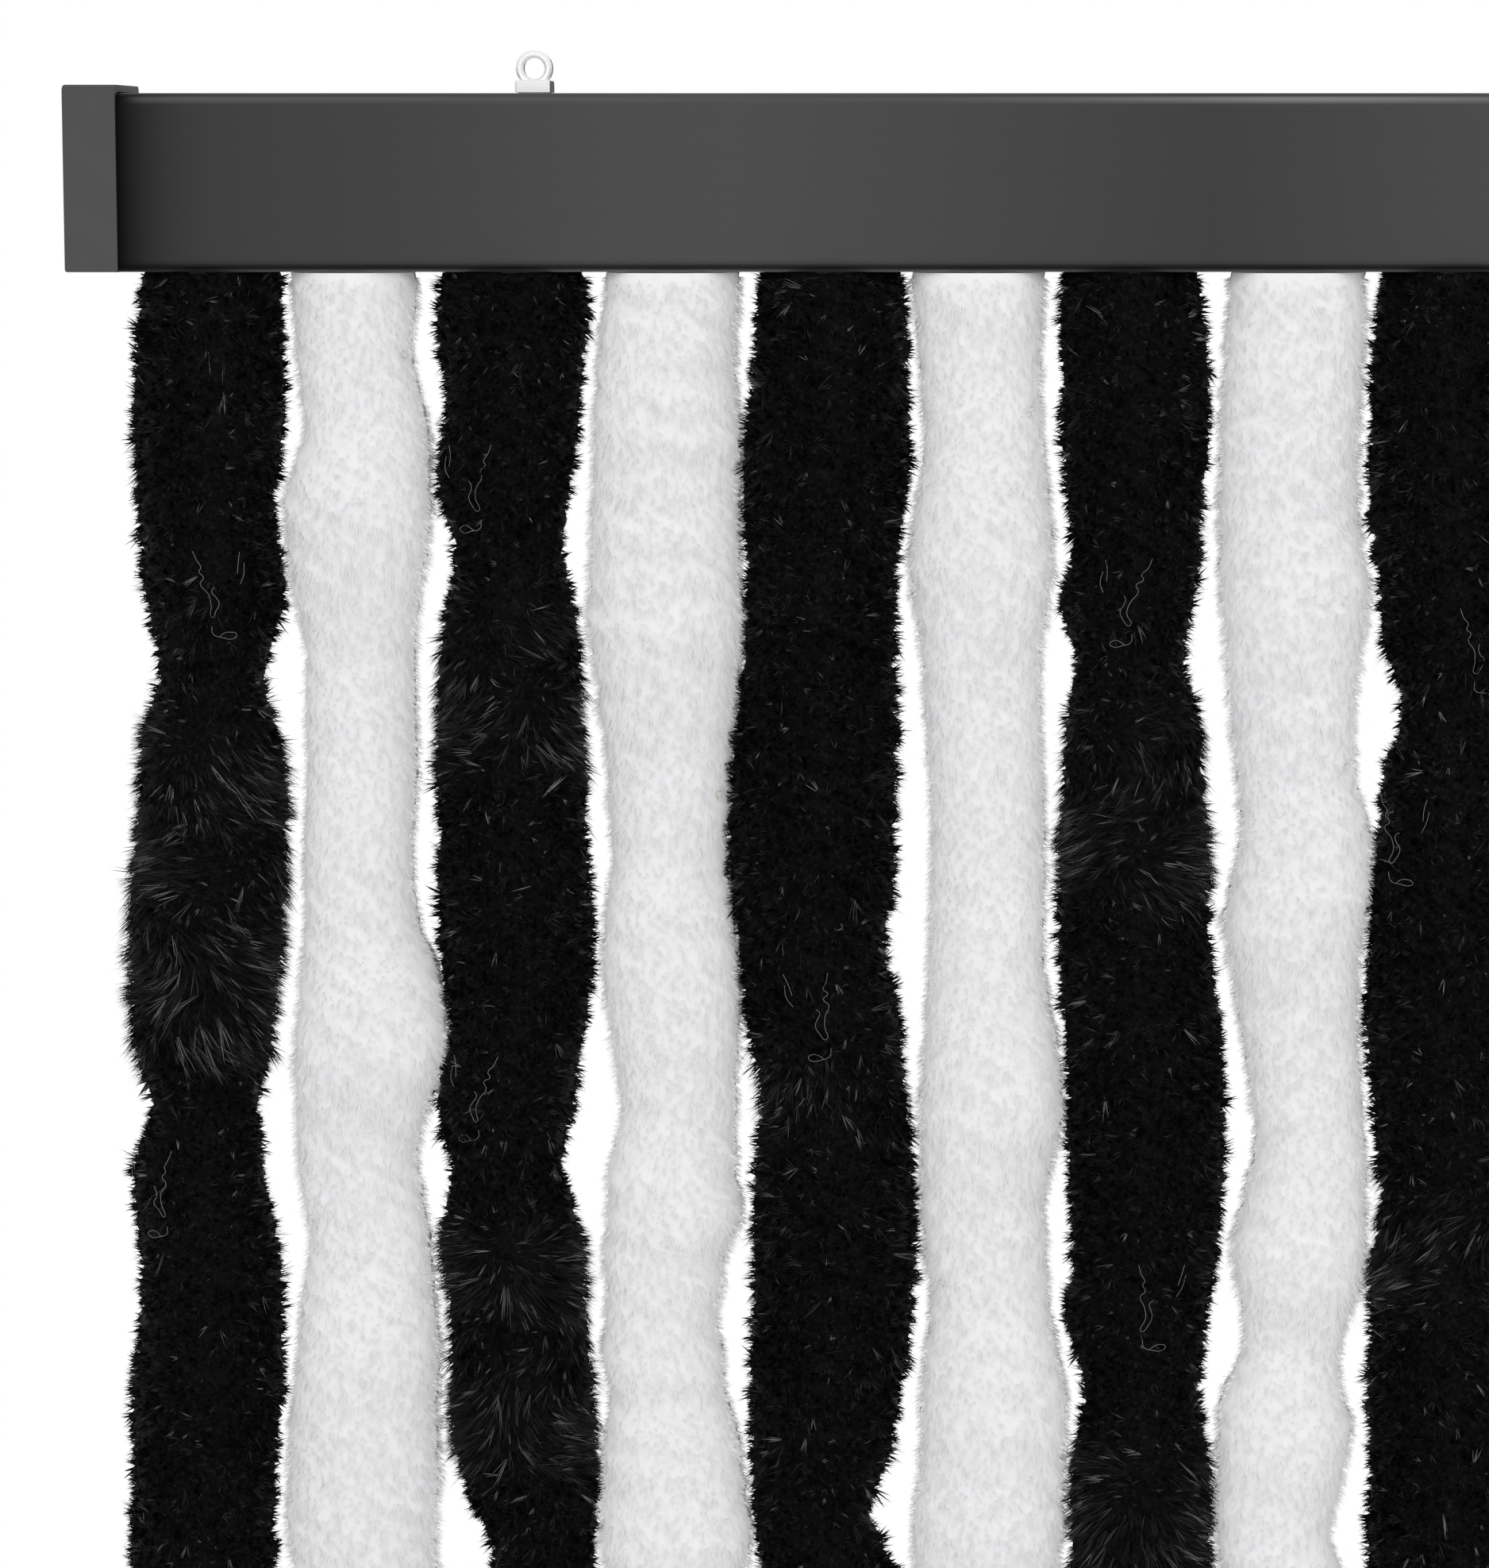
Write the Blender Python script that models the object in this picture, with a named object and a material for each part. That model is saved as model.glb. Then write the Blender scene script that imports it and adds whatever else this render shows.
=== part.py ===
"""A door curtain of chenille strands that hang from a head rail, which hangs by two eyes."""
import math

import bmesh
import bpy

MM = 0.001

# The whole curtain: X along the rail, -Y towards the room, Z up, origin midway between the eyes
CURTAIN_WIDTH = 560 * MM
CURTAIN_DROP = 1850 * MM
END_MARGIN = 29.3 * MM
FIT = 0.3 * MM

# The head rail, an extrusion with a track below for gliders and a groove above for hangers
RAIL_DEPTH = 30 * MM
RAIL_HEIGHT = 43.5 * MM
RAIL_WALL = 1.5 * MM
RAIL_WEB = 1.2 * MM
RAIL_CORNER = 2 * MM
TRACK_SLOT = 5 * MM
TRACK_WIDTH = 12 * MM
TRACK_HEIGHT = 4.2 * MM
GROOVE_SLOT = 5 * MM
GROOVE_WIDTH = 12 * MM
GROOVE_HEIGHT = 3.6 * MM

# The end caps, flush with the rail below and behind, which hold it with two tongues
CAP_WIDTH = 13 * MM
CAP_ABOVE_RAIL = 2 * MM
CAP_BEFORE_RAIL = 2 * MM
CAP_END_WALL = 2.5 * MM
CAP_CORNER = 1.5 * MM
CAP_EDGE = 0.6 * MM
TONGUE_LENGTH = 18 * MM
TONGUE_WALL = 1.8 * MM
TONGUE_HEIGHT = 22 * MM
TONGUE_LEAD = 1 * MM

# The hangers, each a foot in the groove, a block on the rail and an eye to hook over
HANGER_INSET = 113.2 * MM
HANGER_FOOT_LENGTH = 14 * MM
HANGER_BLOCK_WIDTH = 8.7 * MM
HANGER_BLOCK_DEPTH = 9.5 * MM
HANGER_BLOCK_HEIGHT = 3 * MM
HANGER_EDGE = 0.5 * MM
EYE_RISE = 6.2 * MM
EYE_RADIUS = 4.5 * MM
EYE_BORE_RADIUS = 2.6 * MM
EYE_THICKNESS = 3.6 * MM
EYE_EDGE = 0.6 * MM

# The gliders and the loops of cord that hang on them
GLIDER_LENGTH = 10 * MM
GLIDER_NECK_LENGTH = 6 * MM
GLIDER_HEAD_HEIGHT = 2.4 * MM
GLIDER_CORNER = 0.8 * MM
LUG_THICKNESS = 3 * MM
LUG_RADIUS = 2.9 * MM
PIVOT_DROP = 3.6 * MM
LOOP_CORD = 1.8 * MM
LOOP_BEND = 1.2 * MM

# The strands, which narrow at their heads so that they clear the rail when they swing
SWING_LIMIT = math.radians(60)
STRAND_HEAD = 4 * MM
STRAND_TAIL = 12 * MM
STRAND_GAP = 1.2 * MM
STRAND_RADII = {"black": 19.6 * MM, "white": 17.4 * MM}
SWELL_PITCH = 146 * MM
SWELL_PITCH_SPREAD_SHARE = 0.4
NECK_SHARES = {"black": 0.76, "white": 0.9}
SHOULDER_SHARES = (0.22, 0.74)
SHOULDER_RADIUS_SHARES = (0.97, 1.0)
TAIL_SHARE = 0.4
GOLDEN_SHARE = (math.sqrt(5) - 1) / 2

# How finely round forms are divided
CORNER_STEPS = 4
EYE_STEPS = 24
LUG_STEPS = 12
BEND_STEPS = 3
CORD_RESOLUTION = 2
EDGE_STEPS = 2
SHARP_ANGLE = math.radians(35)

# Levels and places worked out from the sizes above
RAIL_TOP = -EYE_RISE
RAIL_BOTTOM = RAIL_TOP - RAIL_HEIGHT
RAIL_END = CURTAIN_WIDTH / 2 - CAP_END_WALL - FIT
PIVOT_LEVEL = RAIL_BOTTOM - PIVOT_DROP
STRAND_LENGTH = CURTAIN_DROP - RAIL_HEIGHT - PIVOT_DROP
STRAND_SPAN = CURTAIN_WIDTH - 2 * END_MARGIN
STRAND_SPACES = int(STRAND_SPAN / (sum(STRAND_RADII.values()) + STRAND_GAP))
STRAND_PITCH = STRAND_SPAN / STRAND_SPACES


def clear_scene():
    for item in list(bpy.data.objects):
        bpy.data.objects.remove(item, do_unlink=True)


def make_material(name, colour, roughness, metallic=0.0):
    made = bpy.data.materials.new(name)
    made.use_nodes = True
    made.diffuse_color = (*colour, 1.0)
    shader = made.node_tree.nodes["Principled BSDF"]
    shader.inputs["Base Color"].default_value = (*colour, 1.0)
    shader.inputs["Roughness"].default_value = roughness
    shader.inputs["Metallic"].default_value = metallic
    return made


def link(name, data, material):
    made = bpy.data.objects.new(name, data)
    bpy.context.scene.collection.objects.link(made)
    data.materials.append(material)
    return made


def arc(centre, radius, start, end, steps):
    """Points on an arc, both ends counted, with its angles in turns."""
    angles = [math.tau * (start + (end - start) * step / steps) for step in range(steps + 1)]
    return [(centre[0] + radius * math.cos(a), centre[1] + radius * math.sin(a)) for a in angles]


def upright(half_width, low, high):
    """A sharp rectangle about the middle plane."""
    return [(-half_width, low), (half_width, low), (half_width, high), (-half_width, high)]


def corners_of_box(left, right, low, high, low_radius, high_radius):
    """The four rounded corners of a rectangle, anticlockwise from its lower left."""
    floor = low + low_radius
    ceiling = high - high_radius
    return [
        arc((left + low_radius, floor), low_radius, 0.5, 0.75, CORNER_STEPS),
        arc((right - low_radius, floor), low_radius, 0.75, 1, CORNER_STEPS),
        arc((right - high_radius, ceiling), high_radius, 0, 0.25, CORNER_STEPS),
        arc((left + high_radius, ceiling), high_radius, 0.25, 0.5, CORNER_STEPS),
    ]


def along_x(u, v, w):
    return (w, u, v)


def along_z(u, v, w):
    return (u, v, w)


def prism(outlines, start, end, place):
    """Extrude an outline, less any further outlines as holes, between two stations."""
    mesh = bmesh.new()
    edges = []
    for outline in outlines:
        ring = [mesh.verts.new(place(u, v, start)) for u, v in outline]
        edges += [mesh.edges.new((ring[i - 1], ring[i])) for i in range(len(ring))]
    bmesh.ops.triangle_fill(mesh, use_beauty=True, edges=edges)
    grown = bmesh.ops.extrude_face_region(mesh, geom=mesh.faces[:])
    shift = [b - a for a, b in zip(place(0, 0, start), place(0, 0, end))]
    moved = [item for item in grown["geom"] if isinstance(item, bmesh.types.BMVert)]
    bmesh.ops.translate(mesh, verts=moved, vec=shift)
    bmesh.ops.recalc_face_normals(mesh, faces=mesh.faces[:])
    return mesh


def soften(mesh, width, chosen):
    """Round the edges that the test picks."""
    edges = [edge for edge in mesh.edges if edge.calc_face_angle(0) > SHARP_ANGLE and chosen(edge)]
    bmesh.ops.bevel(mesh, geom=edges, offset=width, segments=EDGE_STEPS, profile=0.5, affect="EDGES")


def make_solid(name, mesh, material, smooth=False):
    data = bpy.data.meshes.new(name)
    mesh.to_mesh(data)
    mesh.free()
    if smooth:
        data.shade_smooth()
        data.set_sharp_from_angle(angle=SHARP_ANGLE)
    return link(name, data, material)


def fuse(body, extras):
    """Add further shapes to a body, which keeps them as hidden operands."""
    for extra in extras:
        extra.hide_render = True
        extra.display_type = "WIRE"
        extra.parent = body
        union = body.modifiers.new(extra.name, "BOOLEAN")
        union.operation = "UNION"
        union.solver = "EXACT"
        union.object = extra
    return body


def make_head_rail(material):
    half = RAIL_DEPTH / 2
    lip_top = RAIL_BOTTOM + RAIL_WALL
    track_top = lip_top + TRACK_HEIGHT
    lip_low = RAIL_TOP - RAIL_WALL
    groove_low = lip_low - GROOVE_HEIGHT
    lower_front, lower_back, upper_back, upper_front = corners_of_box(
        -half, half, RAIL_BOTTOM, RAIL_TOP, RAIL_CORNER, RAIL_CORNER
    )
    track = [
        (-TRACK_SLOT / 2, RAIL_BOTTOM),
        (-TRACK_SLOT / 2, lip_top),
        (-TRACK_WIDTH / 2, lip_top),
        (-TRACK_WIDTH / 2, track_top),
        (TRACK_WIDTH / 2, track_top),
        (TRACK_WIDTH / 2, lip_top),
        (TRACK_SLOT / 2, lip_top),
        (TRACK_SLOT / 2, RAIL_BOTTOM),
    ]
    groove = [
        (GROOVE_SLOT / 2, RAIL_TOP),
        (GROOVE_SLOT / 2, lip_low),
        (GROOVE_WIDTH / 2, lip_low),
        (GROOVE_WIDTH / 2, groove_low),
        (-GROOVE_WIDTH / 2, groove_low),
        (-GROOVE_WIDTH / 2, lip_low),
        (-GROOVE_SLOT / 2, lip_low),
        (-GROOVE_SLOT / 2, RAIL_TOP),
    ]
    skin = lower_front + track + lower_back + upper_back + groove + upper_front
    inside = half - RAIL_WALL
    track_side = TRACK_WIDTH / 2 + RAIL_WEB
    groove_side = GROOVE_WIDTH / 2 + RAIL_WEB
    hollow = [
        (-inside, lip_top),
        (-track_side, lip_top),
        (-track_side, track_top + RAIL_WEB),
        (track_side, track_top + RAIL_WEB),
        (track_side, lip_top),
        (inside, lip_top),
        (inside, lip_low),
        (groove_side, lip_low),
        (groove_side, groove_low - RAIL_WEB),
        (-groove_side, groove_low - RAIL_WEB),
        (-groove_side, lip_low),
        (-inside, lip_low),
    ]
    body = prism([skin, hollow], -RAIL_END, RAIL_END, along_x)
    make_solid("head_rail", body, material, smooth=True)


def make_end_cap(side, sign, material):
    """One cap: an end wall, a hood over the rail's front and top, and two tongues."""
    outer = sign * CURTAIN_WIDTH / 2
    wall_inside = outer - sign * CAP_END_WALL
    mouth = outer - sign * CAP_WIDTH
    back = RAIL_DEPTH / 2
    front = -back - CAP_BEFORE_RAIL
    top = RAIL_TOP + CAP_ABOVE_RAIL
    rim = corners_of_box(front, back, RAIL_BOTTOM, top, CAP_EDGE, CAP_CORNER)
    lower_front, lower_back, upper_back, upper_front = rim
    plate = prism([sum(rim, [])], outer, wall_inside, along_x)
    soften(plate, CAP_EDGE, lambda edge: all(abs(v.co.x - outer) < CAP_EDGE for v in edge.verts))
    cap = make_solid(f"end_cap_{side}", plate, material)

    inside_front = -RAIL_DEPTH / 2 - FIT
    inside_top = RAIL_TOP + FIT
    bend = RAIL_CORNER + FIT
    inner_corner = arc((inside_front + bend, inside_top - bend), bend, 0.5, 0.25, CORNER_STEPS)
    lining = [(inside_front, RAIL_BOTTOM), *inner_corner, (back, inside_top)]
    overlap = outer - sign * CAP_END_WALL / 2
    hood_mesh = prism([upper_back + upper_front + lower_front + lining], overlap, mouth, along_x)
    hood = make_solid(f"cap_hood_{side}", hood_mesh, material)

    tongues = []
    tip = wall_inside - sign * TONGUE_LENGTH
    shoulder = tip + sign * TONGUE_LEAD
    middle = (RAIL_TOP + RAIL_BOTTOM) / 2
    for face, facing in (("front", -1), ("back", 1)):
        skin = facing * (RAIL_DEPTH / 2 - RAIL_WALL - FIT)
        inner = skin - facing * TONGUE_WALL
        lead = skin - facing * TONGUE_LEAD
        outline = [(overlap, skin), (shoulder, skin), (tip, lead), (tip, inner), (overlap, inner)]
        blade = prism([outline], middle - TONGUE_HEIGHT / 2, middle + TONGUE_HEIGHT / 2, along_z)
        tongues.append(make_solid(f"cap_tongue_{side}_{face}", blade, material))
    fuse(cap, [hood, *tongues])


def eye_ring():
    """A thick washer with rounded edges, turned about the Y axis at the origin."""
    mesh = bmesh.new()
    half = EYE_THICKNESS / 2
    section = [
        (EYE_BORE_RADIUS, half - EYE_EDGE),
        (EYE_BORE_RADIUS, EYE_EDGE - half),
        (EYE_BORE_RADIUS + EYE_EDGE, -half),
        (EYE_RADIUS - EYE_EDGE, -half),
        (EYE_RADIUS, EYE_EDGE - half),
        (EYE_RADIUS, half - EYE_EDGE),
        (EYE_RADIUS - EYE_EDGE, half),
        (EYE_BORE_RADIUS + EYE_EDGE, half),
    ]
    rings = []
    for step in range(EYE_STEPS):
        angle = math.tau * step / EYE_STEPS
        rings.append([mesh.verts.new((r * math.cos(angle), y, r * math.sin(angle))) for r, y in section])
    for here, there in zip(rings, rings[1:] + rings[:1]):
        for i in range(len(section)):
            mesh.faces.new((here[i - 1], here[i], there[i], there[i - 1]))
    bmesh.ops.recalc_face_normals(mesh, faces=mesh.faces[:])
    return mesh


def make_hanger(side, sign, material):
    """One hanger, whose origin is its eye's centre: foot, neck and block below the eye."""
    seat = RAIL_TOP + FIT
    foot_top = RAIL_TOP - RAIL_WALL - FIT
    foot_low = foot_top - GROOVE_HEIGHT + 2 * FIT
    foot_half = GROOVE_WIDTH / 2 - FIT
    neck_half = GROOVE_SLOT / 2 - FIT
    width = HANGER_BLOCK_WIDTH / 2
    depth = HANGER_BLOCK_DEPTH / 2
    block = prism([upright(depth, seat, seat + HANGER_BLOCK_HEIGHT)], -width, width, along_x)
    soften(block, HANGER_EDGE, lambda edge: any(v.co.z > seat + HANGER_EDGE for v in edge.verts))
    tee = [
        (-foot_half, foot_low),
        (foot_half, foot_low),
        (foot_half, foot_top),
        (neck_half, foot_top),
        (neck_half, seat + HANGER_BLOCK_HEIGHT / 2),
        (-neck_half, seat + HANGER_BLOCK_HEIGHT / 2),
        (-neck_half, foot_top),
        (-foot_half, foot_top),
    ]
    neck = prism([tee], -width + HANGER_EDGE, width - HANGER_EDGE, along_x)
    foot_end = HANGER_FOOT_LENGTH / 2
    foot = prism([upright(foot_half, foot_low, foot_top)], -foot_end, foot_end, along_x)
    hanger = make_solid(f"hanger_{side}", eye_ring(), material, smooth=True)
    extras = {"block": block, "neck": neck, "foot": foot}
    fuse(hanger, [make_solid(f"{part}_{side}", mesh, material) for part, mesh in extras.items()])
    hanger.location.x = sign * (CURTAIN_WIDTH / 2 - HANGER_INSET)


def make_glider(number, place, material):
    """One glider, whose origin is its loop's pivot: a head in the track and a lug below it."""
    head_low = PIVOT_DROP + RAIL_WALL + FIT
    head_half = TRACK_WIDTH / 2 - FIT
    neck_half = TRACK_SLOT / 2 - FIT
    overlap = GLIDER_HEAD_HEIGHT / 2
    head_end = GLIDER_LENGTH / 2
    head_low_shoulder = head_low + GLIDER_CORNER
    head_top = head_low + GLIDER_HEAD_HEIGHT
    head_top_shoulder = head_top - GLIDER_CORNER
    inset = head_half - GLIDER_CORNER
    head_outline = [
        (-inset, head_low),
        (inset, head_low),
        (head_half, head_low_shoulder),
        (head_half, head_top_shoulder),
        (inset, head_top),
        (-inset, head_top),
        (-head_half, head_top_shoulder),
        (-head_half, head_low_shoulder),
    ]
    head = prism([head_outline], -head_end, head_end, along_x)
    neck_end = GLIDER_NECK_LENGTH / 2
    neck = prism([upright(neck_half, PIVOT_DROP, head_low + overlap)], -neck_end, neck_end, along_x)
    below = arc((0, 0), LUG_RADIUS, 0.5, 1, LUG_STEPS // 2)
    lug_outline = below + [(neck_half, PIVOT_DROP + FIT), (-neck_half, PIVOT_DROP + FIT)]
    bore = arc((0, 0), LOOP_CORD / 2 + FIT, 0, 1, LUG_STEPS)[:-1]
    lug = prism([lug_outline, bore], -LUG_THICKNESS / 2, LUG_THICKNESS / 2, along_x)
    glider = make_solid(f"glider_{number:02d}", head, material)
    extras = {"neck": neck, "lug": lug}
    fuse(glider, [make_solid(f"{part}_{number:02d}", mesh, material) for part, mesh in extras.items()])
    glider.location = (place, 0, PIVOT_LEVEL)


def make_cord(name, route, radii, depth, material):
    """A round cord of varying radius along a route."""
    curve = bpy.data.curves.new(name, "CURVE")
    curve.dimensions = "3D"
    curve.bevel_depth = depth
    curve.bevel_resolution = CORD_RESOLUTION
    curve.use_fill_caps = True
    spline = curve.splines.new("POLY")
    spline.points.add(len(route) - 1)
    spline.use_smooth = True
    for point, place, radius in zip(spline.points, route, radii):
        point.co = (*place, 1)
        point.radius = radius / depth
    return link(name, curve, material)


def make_loop(number, pivot, material):
    """The strand's core cord, folded over the lug: its bar is the pivot and its legs hang down."""
    side = LUG_THICKNESS / 2 + FIT + LOOP_CORD / 2
    foot = FIT - STRAND_HEAD
    over = arc((LOOP_BEND - side, -LOOP_BEND), LOOP_BEND, 0.5, 0.25, BEND_STEPS)
    down = [(-x, z) for x, z in reversed(over)]
    route = [(-side, 0, foot)] + [(x, 0, z) for x, z in over + down] + [(side, 0, foot)]
    radius = LOOP_CORD / 2
    loop = make_cord(f"strand_loop_{number:02d}", route, [radius] * len(route), radius, material)
    loop.parent = pivot


def clear_radius(drop):
    """How thick a strand may be at a drop below its pivot and still pass under the rail."""
    room = drop * math.cos(SWING_LIMIT) + PIVOT_DROP - FIT
    return room / math.sin(SWING_LIMIT)


def strand_stations(number, colour):
    """Drops below the pivot and radii: uneven swells between necks, a tapered head and tail."""
    full = STRAND_RADII[colour]
    neck = NECK_SHARES[colour] * full
    stations = [(STRAND_HEAD, clear_radius(STRAND_HEAD))]
    shoulder = (full * math.sin(SWING_LIMIT) - PIVOT_DROP + FIT) / math.cos(SWING_LIMIT)
    stations.append((shoulder, full))
    end = STRAND_LENGTH - STRAND_TAIL
    swell = 0
    top = shoulder - SWELL_PITCH * ((number * GOLDEN_SHARE) % 1) / 2
    while top < end - SWELL_PITCH / 2:
        uneven = ((number + swell * (1 + GOLDEN_SHARE)) * GOLDEN_SHARE) % 1 - 0.5
        length = SWELL_PITCH * (1 + SWELL_PITCH_SPREAD_SHARE * uneven)
        for share, radius_share in zip(SHOULDER_SHARES, SHOULDER_RADIUS_SHARES):
            stations.append((top + share * length, full * radius_share))
        top += length
        swell += 1
        stations.append((top, neck))
    inside = [item for item in stations[2:] if shoulder + STRAND_TAIL < item[0] < end - STRAND_TAIL]
    return stations[:2] + inside + [(end, full), (STRAND_LENGTH, full * TAIL_SHARE)]


def make_strand(number, colour, pivot, material):
    stations = strand_stations(number, colour)
    route = [(0, 0, -drop) for drop, radius in stations]
    radii = [radius for drop, radius in stations]
    name = f"strand_{number:02d}_{colour}"
    strand = make_cord(name, route, radii, STRAND_RADII[colour], material)
    strand.parent = pivot


def make_pivot(number, place):
    """The hinge about which a strand and its loop swing to the front and back."""
    pivot = bpy.data.objects.new(f"pivot_{number:02d}", None)
    bpy.context.scene.collection.objects.link(pivot)
    pivot.location = (place, 0, PIVOT_LEVEL)
    return pivot


def build():
    clear_scene()
    rail_paint = make_material("rail_anthracite", (0.058, 0.058, 0.060), 0.38, 0.6)
    cap_plastic = make_material("cap_plastic", (0.085, 0.085, 0.085), 0.5)
    nickel = make_material("hanger_nickel", (0.78, 0.77, 0.75), 0.22, 1.0)
    glider_plastic = make_material("glider_plastic", (0.75, 0.75, 0.73), 0.45)
    core_yarn = make_material("core_yarn", (0.55, 0.53, 0.50), 0.9)
    chenille = {
        "black": make_material("chenille_black", (0.006, 0.006, 0.007), 0.85),
        "white": make_material("chenille_white", (0.76, 0.76, 0.78), 0.9),
    }
    make_head_rail(rail_paint)
    for side, sign in (("left", -1), ("right", 1)):
        make_end_cap(side, sign, cap_plastic)
        make_hanger(side, sign, nickel)
    for number in range(1, STRAND_SPACES + 2):
        place = END_MARGIN - CURTAIN_WIDTH / 2 + (number - 1) * STRAND_PITCH
        colour = "black" if number % 2 else "white"
        make_glider(number, place, glider_plastic)
        pivot = make_pivot(number, place)
        make_loop(number, pivot, core_yarn)
        make_strand(number, colour, pivot, chenille[colour])


build()
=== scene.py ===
"""The looks of a chenille strand curtain: its pile, cords, finishes, light and camera over the CAD frame."""
import math

import bmesh
import bpy
import numpy as np
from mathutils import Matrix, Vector

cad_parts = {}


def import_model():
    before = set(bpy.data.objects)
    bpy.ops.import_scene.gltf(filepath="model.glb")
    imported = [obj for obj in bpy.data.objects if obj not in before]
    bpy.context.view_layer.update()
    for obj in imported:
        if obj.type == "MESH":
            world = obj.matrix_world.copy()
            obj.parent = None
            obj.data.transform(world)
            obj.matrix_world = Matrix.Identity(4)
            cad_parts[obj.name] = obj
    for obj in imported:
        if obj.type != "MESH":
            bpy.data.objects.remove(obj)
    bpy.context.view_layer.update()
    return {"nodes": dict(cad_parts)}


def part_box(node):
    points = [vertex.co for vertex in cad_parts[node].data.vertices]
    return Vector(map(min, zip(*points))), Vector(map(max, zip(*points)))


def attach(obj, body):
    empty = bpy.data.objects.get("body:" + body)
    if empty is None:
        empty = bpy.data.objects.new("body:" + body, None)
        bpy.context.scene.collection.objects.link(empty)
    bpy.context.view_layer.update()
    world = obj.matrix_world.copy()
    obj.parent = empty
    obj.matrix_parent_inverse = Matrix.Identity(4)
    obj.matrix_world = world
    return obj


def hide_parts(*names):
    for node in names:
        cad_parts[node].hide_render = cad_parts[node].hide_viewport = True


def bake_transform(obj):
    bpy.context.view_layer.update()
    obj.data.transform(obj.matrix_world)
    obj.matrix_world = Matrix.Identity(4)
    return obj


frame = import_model()

MM = 0.001

# The picture: its size, the cap's edge, the rail's lower edge, the camera's axis and the vanishing point
PICTURE_WIDTH = 1876
PICTURE_HEIGHT = 1975
CAP_EDGE_COLUMN = 81
RAIL_LOWER_ROW = 343
AXIS_ROW = 900
VANISHING_COLUMN = 1528
VANISHING_ROW = 219
CAMERA_SENSOR = 36 * MM
CAMERA_DISTANCE = 1400 * MM

# The rail, the left cap and the strands, as the frame has them
RAIL_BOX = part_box("head_rail")
RAIL_LOW = RAIL_BOX[0].z
CAP_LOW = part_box("end_cap_left")[0]
CAP_WIDTH = 13 * MM
STRANDS = sorted(name for name in frame["nodes"] if name.endswith(("_black", "_white")))
STRAND_END = min(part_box(name)[0].z for name in STRANDS)
FULL_DROP = RAIL_LOW - STRAND_END

# The pile's body, the hollow at its top for the glider's lug, its rounded foot and the stretch that bends
BODY_SIDES = 48
FINE_STEPS = 4000
CLOSE_STEP = 1.8 * MM
FAR_STEP = 4.5 * MM
TOP_GAP = 0.25 * MM
HOLLOW_RADIUS = 4.8 * MM
HOLLOW_DEPTH = 9 * MM
FOOT_LENGTH = 9 * MM
FOOT_LEAST = 0.05

# The stretch below the rail that gets the finest pile
CLOSE_DROP = 420 * MM
CLOSE_EDGE = 50 * MM
CLOSE_DENSITY = 2.6

# The core cord, folded over the glider's lug
LOOP_BEND = 1.2 * MM
LOOP_TWIST = 5 * MM
LOOP_SIDES = 18
LOOP_RINGS = 90

# The black and the white pile: how far the body reaches, how tufts gather in clumps, and how they fan and lean
TUFTS = 36000
TIPS = 4
PILE_VALUES = {
    "radius": (19.4 * MM, 17.2 * MM),
    "body_share": (0.92, 0.94),
    "lumps": (0.035, 0.010),
    "fringe": (0.3 * MM, 0.4 * MM),
    "clump": (3.0 * MM, 2.4 * MM),
    "gather": (0.5, 0.2),
    "ragged": (0.8 * MM, 0.25 * MM),
    "overhang": (0.6 * MM, 0.3 * MM),
    "tuft_width": (1.0 * MM, 0.36 * MM),
    "hair_width": (0.30 * MM, 0.22 * MM),
    "hair_share": (0.20, 0.3),
    "fan": (0.34, 0.26),
    "lean": (0.45, 0.35),
    "droop": (0.10, 1.30),
    "facing": (0.6, 0.10),
    "uneven": (0.12, 0.14),
    "necks": ((0.67, 0.78), (0.82, 0.92)),
}
COMBED_BODY_SHARE = 0.90
ROOT_DEPTH_SHARE = 0.04
STEEPEST_LEAN = 0.38
LONGEST_OVERHANG = 2.2 * MM
FOOT_DROOP = 2.0
GOLDEN_SHARE = (math.sqrt(5) - 1) / 2
UPWARD = np.array([0.0, 0.0, 1.0])

# How the white pile shades, which lets light through
SIDE_SHADE_SHARE = 0.30
FRONT_SPREAD = 5.0
UNEVENNESS = 0.10

# White tufts at a strand's sides stand as fins that face front and back: up to these cosines, some and all
FIN_ZONE = 0.40
FIN_FULL = 0.22
FIN_DROOP = 0.4
FIN_BROADSIDE = np.array([0.0, -1.0, 0.0])

# Where the body ends and the tufts begin in the pile's own texture space
BODY_STRIP = 0.3
STRIP_RIM = 0.01

# Where the picture's strands begin, its pixels to the mm there, and how far away its own level camera stood
SEEN_TOP_ROW = 340
SEEN_PIXELS = 5.054
SEEN_DISTANCE = 767 * MM

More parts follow.
